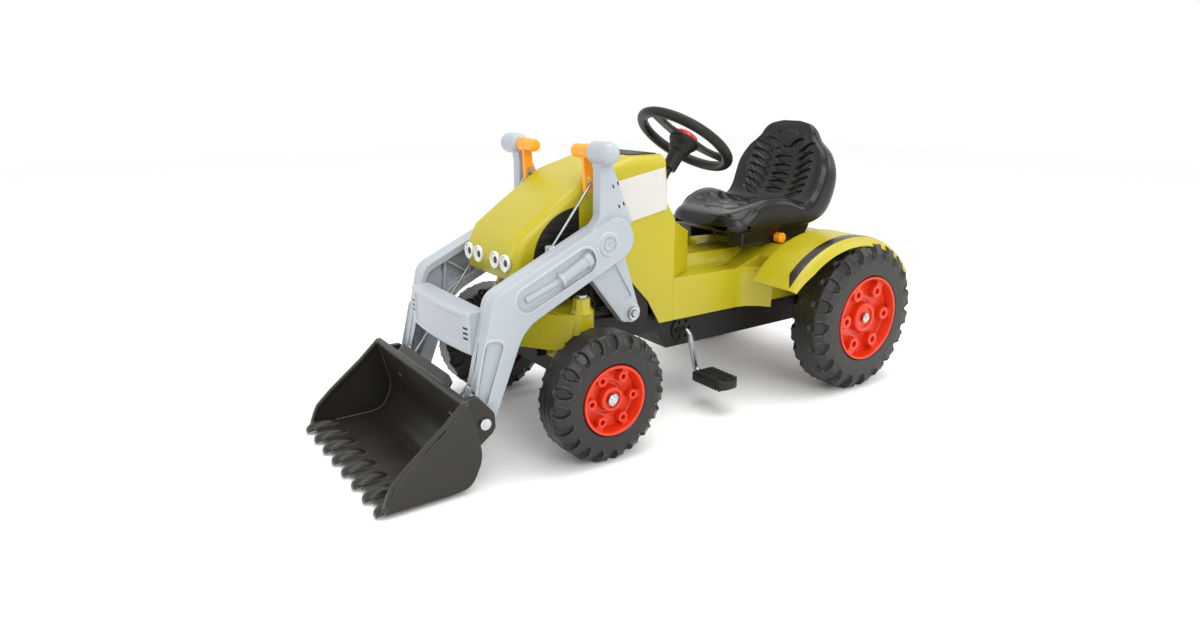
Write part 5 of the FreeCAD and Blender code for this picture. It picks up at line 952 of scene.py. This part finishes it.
def fender(name, side):
    look = fenderLook
    low, high = boxOf(f"fender_{name}")
    inner, outer = (low.y, high.y) if side > 0 else (-high.y, -low.y)
    lip = [(inner, look.shoulder[0][1])] + [(outer - y, depth) for y, depth in look.shoulder]
    under = [(y - (look.wall if at > 3 else 0), d + look.wall) for at, (y, d) in enumerate(lip)]
    under[-1] = (outer - look.lipEnd[0], look.lipEnd[1])

    def lipDepth(y):
        for (one, depth), (two, after) in zip(lip, lip[1:]):
            if y <= two:
                return depth + (after - depth) * (y - one) / (two - one)
        return lip[-1][1]

    def flared(turn):
        # the front end flattens and flares a little
        return look.flareShare + (1 - look.flareShare) * min(1.0, (turn - look.front) / look.flare)

    bm, strip = bmesh.new(), bmesh.new()
    rows, skirt = [], []
    for step in range(look.steps + 1):
        turn = look.front + (look.rear - look.front) * step / look.steps
        rows.append([fenderPoint(turn, side * y, d * flared(turn) if y > outer - look.lipFrom else d)
                     for y, d in lip + under[::-1]])
    loft(bm, rows)
    for step in range(look.skirtSteps + 1):
        turn = look.front + (look.rear - look.front) * step / look.skirtSteps
        spot = fenderPoint(turn, 0, look.skirtDepth)
        skirt.append((spot.x, spot.z))
    sided(bm, inner + look.skirt[0], inner + look.skirt[1], [skirt], side, look.skirt[2])
    addPiece(f"fender_{name}_moulded", bm, yellow, "chassis", "body_plastic", (f"fender_{name}",), sharp=40)
    rows = []
    for step in range(look.stripeSteps + 1):
        share = step / look.stripeSteps
        turn = look.front + look.stripe[0] + (look.stripe[1] - look.front) * share
        tail = eased((share - look.stripeTail) / (1 - look.stripeTail))
        wide = look.stripeWide * min(1, look.stripeStart + share / look.stripeStart) * (1 - look.stripeThin * tail)
        across = [outer - look.stripeEdge - wide * u for u in (0, 0.33, 0.66, 1)]
        depth = [lipDepth(y) * flared(turn) for y in across]
        rows.append([fenderPoint(turn, side * y, d - look.stripeLift) for y, d in zip(across, depth)]
                    + [fenderPoint(turn, side * y, d + look.stripeSink) for y, d in zip(across[::-1], depth[::-1])])
    loft(strip, rows)
    addPiece(f"fender_{name}_stripe", strip, film, "chassis", "trim_plastic", weighted=False, sharp=60)


for name, side in sides:
    fender(name, side)
print("fenders made")


# Pedals: a rounded block with ribs across its treads

pedalLook = Look(
    outerRound=22.0, innerRound=7.0, edge=3.5, rows=9, ribHalf=1.5, ribRise=2.2, ribReach=7, margin=7.0,
    edgeRow=11)


def pedal(name):
    look = pedalLook
    low, high = boxOf(f"pedal_{name}")
    outer, inner = (high.y, low.y) if name == "left" else (low.y, high.y)
    block = rounded(oblong(low.x, inner, high.x, outer), [look.innerRound] * 2 + [look.outerRound] * 2, 8)
    bm = bmesh.new()
    plate(bm, [block], low.z + look.ribRise, high.z - look.ribRise, look.edge)
    layFlat = Matrix(((1, 0, 0, 0), (0, 0, 1, 0), (0, 1, 0, 0), (0, 0, 0, 1)))
    bmesh.ops.transform(bm, matrix=layFlat, verts=bm.verts)
    pitch = (abs(outer - inner) - 2 * look.margin) / look.rows
    ring = rounded(oblong(-look.ribHalf, low.z, look.ribHalf, high.z), 0.8, 2)
    for x in (low.x + look.edgeRow, (low.x + high.x) / 2, high.x - look.edgeRow):
        rib = bmesh.new()
        loft(rib, [[(x + u, v, z) for v, z in ring] for u in (-look.ribReach, look.ribReach)])
        first = min(inner, outer) + look.margin + pitch / 2
        repeated(bm, rib, look.rows, matt, step=(0, pitch, 0), place=(0, first, 0))
    addPiece(f"pedal_{name}_moulded", bm, matt, bodyOf(f"pedal_{name}"), "pedal_plastic", (f"pedal_{name}",))


# Headlamps: ringed bright discs with a dark middle

lampLook = Look(radius=16.0, spread=(33.0, 72.0), ring=3.2, steps=40, middleSteps=28)


def headlamps():
    look = lampLook
    low, high = boxOf("headlamps")
    lamp, glass = bmesh.new(), bmesh.new()
    r, inner = look.radius, look.radius - look.ring
    ring = cornered([(inner, 0, 0), (r, 0, 0), (r, 4.5, 1.5), (r - look.ring * 0.5, 5.6, 1), (inner, 4, 0.6)], 3)
    bulb = [(r * 0.4, 1), (r * 0.4, 2.4), (r * 0.32, 3.2), (axisRadius, 3.4)]
    field = [(inner + 0.4, 0), (inner + 0.4, 2.4), (r * 0.46, 1.8), (axisRadius, 1.6)]
    for side in (-1, 1):
        for y in look.spread:
            stand = Matrix.Translation((low.x, side * y, (low.z + high.z) / 2)) @ Matrix.Rotation(math.pi / 2, 4, "Y")
            turned(lamp, ring + ring[:1], look.steps, stand)
            turned(lamp, field, look.steps, stand)
            turned(glass, bulb, look.middleSteps, stand)
    addPiece("headlamps_rings", lamp, silver, bodyOf("headlamps"), "lamp_plastic", ("headlamps",))
    addPiece("headlamps_middles", glass, film, bodyOf("headlamps"), "lamp_plastic", ("headlamps",))


pedal("left")
pedal("right")
headlamps()
print("pedals and headlamps made")


# Cross member of the loader: a bowed panel with a sunk face, and slots at its ends drawn as dark sheets of painted
# shade

crossLook = Look(
    bow=9.0, sunk=3.0, margin=11.0, endRib=20.0, slotRows=3, slotPitch=9.0, slotLong=15.0, slotHalf=1.8,
    slotLean=0.145, slotDepth=(-1.0, 0.35), bays=12)


def crossMember():
    look = crossLook
    low, high = boxOf("cross_member")
    half, face, margin = high.y, high.y - look.endRib, look.margin
    bm, slots = bmesh.new(), bmesh.new()
    stops = [half * s / look.bays for s in range(1 - look.bays, look.bays)]
    for end in (-1, 1):
        stops += [end * stop for stop in (half, half - 2, face + 0.5, face - 3)]
    rows = []
    for y in sorted(stops):
        near = high.x - look.bow * (y / half) ** 2 - (1.5 if abs(y) > half - 1 else 0)
        back = near - look.sunk * eased((face - abs(y)) / 3 + 0.15)
        ring = [(low.x, low.z + 2), (low.x + 2, low.z), (near - 3, low.z), (near, low.z + 3),
                (near, low.z + margin - 2), (back, low.z + margin + 1), (back, high.z - margin - 1),
                (near, high.z - margin + 2), (near, high.z - 3), (near - 3, high.z), (low.x + 2, high.z),
                (low.x, high.z - 2)]
        rows.append([(x, y, z) for x, z in ring])
    loft(bm, rows)
    addPiece("cross_member_moulded", bm, grey, bodyOf("cross_member"), "loader_plastic", ("cross_member",), sharp=28)
    middle = half - look.endRib / 2
    spot = high.x - look.bow * (middle / half) ** 2
    first = (low.z + high.z) / 2 - look.slotPitch * (look.slotRows - 1) / 2
    ring = rounded(oblong(-look.slotLong / 2, -look.slotHalf, look.slotLong / 2, look.slotHalf), 1.6, 3)
    # the slots are matt black plugs at the face: painted shade in place of openings
    for side in (-1, 1):
        slot = bmesh.new()
        loft(slot, [[(spot + a - look.slotLean * side * u, side * middle + u, v) for u, v in ring]
                    for a in look.slotDepth])
        repeated(slots, slot, look.slotRows, matt, step=(0, 0, look.slotPitch), place=(0, 0, first))
    addPiece("cross_member_slots", slots, matt, bodyOf("cross_member"), "loader_plastic")


# Seat base: tapered walls under the pan, open at the front

baseLook = Look(spreadTop=9.0, mouth=62.0, mouthDepth=70.0, mouthTaper=14, corner=9.0)


def seatBase():
    look = baseLook
    low, high = boxOf("seat_base")
    bm = bmesh.new()
    rows = []
    for z, out in ((low.z + 0.2, 0), (low.z + 1.4, 1.2), (low.z + 3.4, 1.4), (low.z + 4.0, 0.6),
                   ((low.z + high.z) / 2, 4.0), (high.z - 1, look.spreadTop), (high.z - 0.1, look.spreadTop - 1)):
        half, front, rear = high.y - 4 + out, high.x - 8 + out * 0.8, low.x + 6 - out * 0.5
        mouth, deep = look.mouth - out * 0.6, high.x - look.mouthDepth - out
        left = [(front, mouth, 3), (front, half, look.corner), (rear, half, look.corner * 2)]
        plan = [(x, -y, r) for x, y, r in left[::-1]] + [(deep, look.mouthTaper - mouth, 12),
                                                         (deep, mouth - look.mouthTaper, 12)] + left
        rows.append([(x, y, z) for x, y in cornered(plan, 5)])
    loft(bm, rows)
    addPiece("seat_base_moulded", bm, gloss, bodyOf("seat_base"), "seat_plastic", ("seat_base",), sharp=40)


# Cast fins and pipes on the sides of the engine block, ahead of the hood's lower corner

engineLook = Look(
    wall=92.0, fins=5, first=78.0, finHalf=2.2, finLow=46, finTop=10, finRise=4.0, pipe=4.55, pipeSink=3,
    pipeSteps=14, pipeBend=4, pipeClimb=3, margin=8,
    # pipes: height, start and end from the first fin and the front
    pipes=((14, -6, -12), (34, -12, -30)))


def engineDress():
    look = engineLook
    low, high = boxOf("engine_block")
    wall, start = look.wall, low.x + look.first
    pitch = (high.x - start - look.margin) / look.fins
    bend, climb = look.pipeBend, look.pipeClimb
    bm = bmesh.new()
    ring = rounded(oblong(-look.finHalf, low.z + look.finLow, look.finHalf, high.z - look.finTop), 1.2, 2)
    for side in (-1, 1):
        fin = bmesh.new()
        prism(fin, ring, (side * (wall - 1), side * (wall + look.finRise)))
        repeated(bm, fin, look.fins, matt, step=(pitch, 0, 0), place=(start, 0, 0))
        sunk, proud = side * (wall - look.pipeSink), side * (wall + look.pipeSink)
        for height, behind, ahead in look.pipes:
            first, last, z = start + behind, high.x + ahead, low.z + height
            run = [(first, sunk, z), (first + bend, proud, z), (last - bend, proud, z + climb), (last, sunk, z + climb)]
            tube(bm, run, [look.pipe] * len(run), look.pipeSteps)
    addPiece("engine_block_fins", bm, matt, bodyOf("engine_block"), "chassis_plastic")


# Front of the axle cover: a sloped apron over the carrier's end, and eight-sided sleeves on the kingpin towers

apronLook = Look(
    top=254.0, low=186.0, topPlan=((224, 157), (268, 100)), lowPlan=((238, 146), (296, 56)), back=214.0,
    corner=14.0, towerRise=28, flats=8, sleeve=((7.0, 0.3), (21.0, 0.3), (18.0, 6.0), (16.2, 11.0), (15.8, 27.8),
                                                (7.0, 27.8)))


def axleApron():
    look = apronLook
    high = boxOf("axle_cover")[1]
    bm = bmesh.new()
    rows = []
    for z, into in ((look.top, 3.5), (look.top - 1, 1.2), (look.top - 3.5, 0), (look.low + 2, 0), (look.low, 1.5)):
        share = (look.top - z) / (look.top - look.low)
        edge = [Vector(a).lerp(Vector(b), share) for a, b in zip(look.topPlan, look.lowPlan)]
        left = [(p.x - into, p.y - into * 0.6) for p in edge]
        plan = left + [(x, -y) for x, y in left[::-1]]
        plan += [(look.back, plan[-1][1]), (look.back, plan[0][1])]
        rows.append([(x, y, z) for x, y in rounded(plan, [4, look.corner, look.corner, 4, 1, 1], 5)])
    loft(bm, rows)
    for name, side in sides:
        kingpin = jointSpot(f"{name}_knuckle_turn")
        stand = Matrix.Translation((kingpin.x, kingpin.y, high.z - look.towerRise))
        turned(bm, look.sleeve, look.flats, stand @ Matrix.Rotation(math.pi / look.flats, 4, "Z"), closed=True)
    addPiece("axle_cover_apron", bm, yellow, bodyOf("axle_cover"), "body_plastic", sharp=30)


# Six-sided heads on the loader's pivot bolts

boltLook = Look(head=8.5, rise=4.5, sunk=0.5, chamfer=(0.8, 1), flats=6)


def liftHeads():
    look = boltLook
    high = boxOf("lift_bolts")[1]
    bm = bmesh.new()
    profile = [(-look.sunk, axisRadius), (-look.sunk, look.head), (look.rise - look.chamfer[0], look.head),
               (look.rise, look.head - look.chamfer[1]), (look.rise, axisRadius)]
    for side in (1, -1):
        spin(bm, profile, look.flats, (lift.x, side * high.y, lift.z), side, closed=False)
    addPiece("lift_bolts_heads", bm, steel, bodyOf("lift_bolts"), "steel", weighted=False, sharp=20)


crossMember()
seatBase()
engineDress()
axleApron()
liftHeads()
print("cross member, seat base, engine fins, apron and bolt heads made")


# Mouldings that keep their drawn shape, with rounded edges: node, material, slot, edge radius

roundLook = Look(segments=3, angle=30)
softPieces = [
    ("hood", yellow, "body_plastic", 3.0), ("tub", yellow, "body_plastic", 4.0),
    ("axle_cover", yellow, "body_plastic", 3.0), ("chassis_frame", matt, "chassis_plastic", 2.0),
    ("engine_block", matt, "chassis_plastic", 2.0), ("dash_panel", matt, "trim_plastic", 0.6),
    ("seat_knob", orange, "trigger_plastic", 1.2), ("axle_beam", matt, "chassis_plastic", 1.5),
    ("crank_discs", matt, "chassis_plastic", 1.0), ("tow_hitch", matt, "chassis_plastic", 1.5),
    ("seat_rail", steel, "steel", 0.8)]
for name, side in sides:
    softPieces += [
        (f"side_panel_{name}", white, "panel_plastic", 0.6), (f"side_grille_{name}", matt, "trim_plastic", 0.6),
        (f"trigger_{name}", orange, "trigger_plastic", 1.2), (f"knuckle_{name}", matt, "chassis_plastic", 1.5)]


def softCopy(node, material, slot, edge):
    # the node's own shape with its edges rounded
    look = roundLook
    bm = bmesh.new()
    bm.from_mesh(frame["nodes"][node].data)
    bmesh.ops.scale(bm, vec=Vector((1 / mm, 1 / mm, 1 / mm)), verts=bm.verts)
    bmesh.ops.remove_doubles(bm, verts=bm.verts, dist=drawLook.nodeWeld)
    bmesh.ops.dissolve_limit(bm, angle_limit=math.radians(drawLook.nodeFlat), verts=bm.verts, edges=bm.edges)
    for face in bm.faces:
        face.material_index = 0
    piece = addPiece(node + "_moulded", bm, material, bodyOf(node), slot, (node,), weighted=False, sharp=look.angle)
    bevel = piece.modifiers.new("rounds", "BEVEL")
    bevel.width = edge * mm
    bevel.segments = look.segments
    bevel.limit_method = "ANGLE"
    bevel.angle_limit = math.radians(look.angle)
    bevel.miter_outer = "MITER_ARC"
    bevel.harden_normals = False
    keepSharp(piece)


for row in softPieces:
    softCopy(*row)

# Turned and bent steel and small inner parts keep their drawn shape and take a finish
bareNodes = {
    steel: ("crankshaft", "rear_axle", "stub_axle_left", "stub_axle_right", "kingpin_left", "kingpin_right", "tie_rod",
            "latch_rod_left", "latch_rod_right", "drive_chain", "rear_sprocket", "crank_sprocket"),
    capSteel: ("lift_bolts", "bucket_bolts", "front_left_cap", "front_right_cap", "rear_axle_caps"),
    matt: ("steering_column", "rear_bushes"),
}
for material, nodes in bareNodes.items():
    for node in nodes:
        slots = frame["nodes"][node].data.materials
        slots.clear()
        slots.append(material)
print("softened pieces:", len(softPieces), "finished nodes:", sum(len(nodes) for nodes in bareNodes.values()))


# Floor, light and camera

stageLook = Look(
    floor="#fbfbfa", floorRough=0.75, fibre=1.6667, fibreBump=0.03, size=14.0, world="#ffffff",
    worldPower=1.0, aim=(0, 0, 0.25),
    # area lights: name, place in metres, size, power
    lights=(("keyPanel", (0.6, 2.8, 2.0), 1.6, 33), ("topPanel", (-0.4, 0.2, 3.0), 2.2, 46),
            ("sidePanel", (-2.6, 1.6, 1.8), 1.4, 14), ("frontPanel", (2.8, -0.4, 1.4), 1.4, 12)))
cameraLook = Look(
    place=(0.95642, 1.28157, 0.64735), yaw=-124.8719, pitch=-16.1946, focal=782.99, width=1200,
    sensor=36.0, near=0.02)


def stood(name, data, place, ahead):
    # a light or camera at its place, looking ahead
    stand = bpy.data.objects.new(name, data)
    stand.location = place
    stand.rotation_euler = ahead.to_track_quat("-Z", "Y").to_euler()
    bpy.context.scene.collection.objects.link(stand)
    return stand


def studio():
    look = stageLook
    paper, tree = newMaterial("studioPaperPale")                # matt paper sweep with a faint fibre
    surfaced(tree, noise(tree, look.fibre, 2.0), look.fibreBump, None, None,
             {"Base Color": hexLinear(look.floor), "Roughness": look.floorRough})
    half = look.size / 2
    mesh = bpy.data.meshes.new("studioFloor")
    mesh.from_pydata([(x, y, 0) for x, y in oblong(-half, -half, half, half)], [], [(0, 1, 2, 3)])
    mesh.materials.append(paper)
    floor = bpy.data.objects.new("studioFloor", mesh)
    bpy.context.scene.collection.objects.link(floor)
    world = bpy.data.worlds.new("studioAir")
    world.use_nodes = True
    air = world.node_tree.nodes["Background"].inputs
    air["Color"].default_value = hexLinear(look.world)
    air["Strength"].default_value = look.worldPower
    bpy.context.scene.world = world
    bpy.context.scene.view_settings.view_transform = "Standard"
    for name, place, size, power in look.lights:
        lamp = bpy.data.lights.new(name, "AREA")
        lamp.shape = "SQUARE"
        lamp.size = size
        lamp.energy = power
        stood(name, lamp, place, Vector(look.aim) - Vector(place))


def photoCamera():
    look = cameraLook
    camera = bpy.data.cameras.new("photoCamera")
    camera.sensor_fit = "HORIZONTAL"
    camera.sensor_width = look.sensor
    camera.lens = look.focal / look.width * look.sensor
    camera.clip_start = look.near
    yaw, pitch = math.radians(look.yaw), math.radians(look.pitch)
    ahead = Vector((math.cos(pitch) * math.cos(yaw), math.cos(pitch) * math.sin(yaw), math.sin(pitch)))
    bpy.context.scene.camera = stood("photoCamera", camera, look.place, ahead)


studio()
photoCamera()
print("studio and camera set")
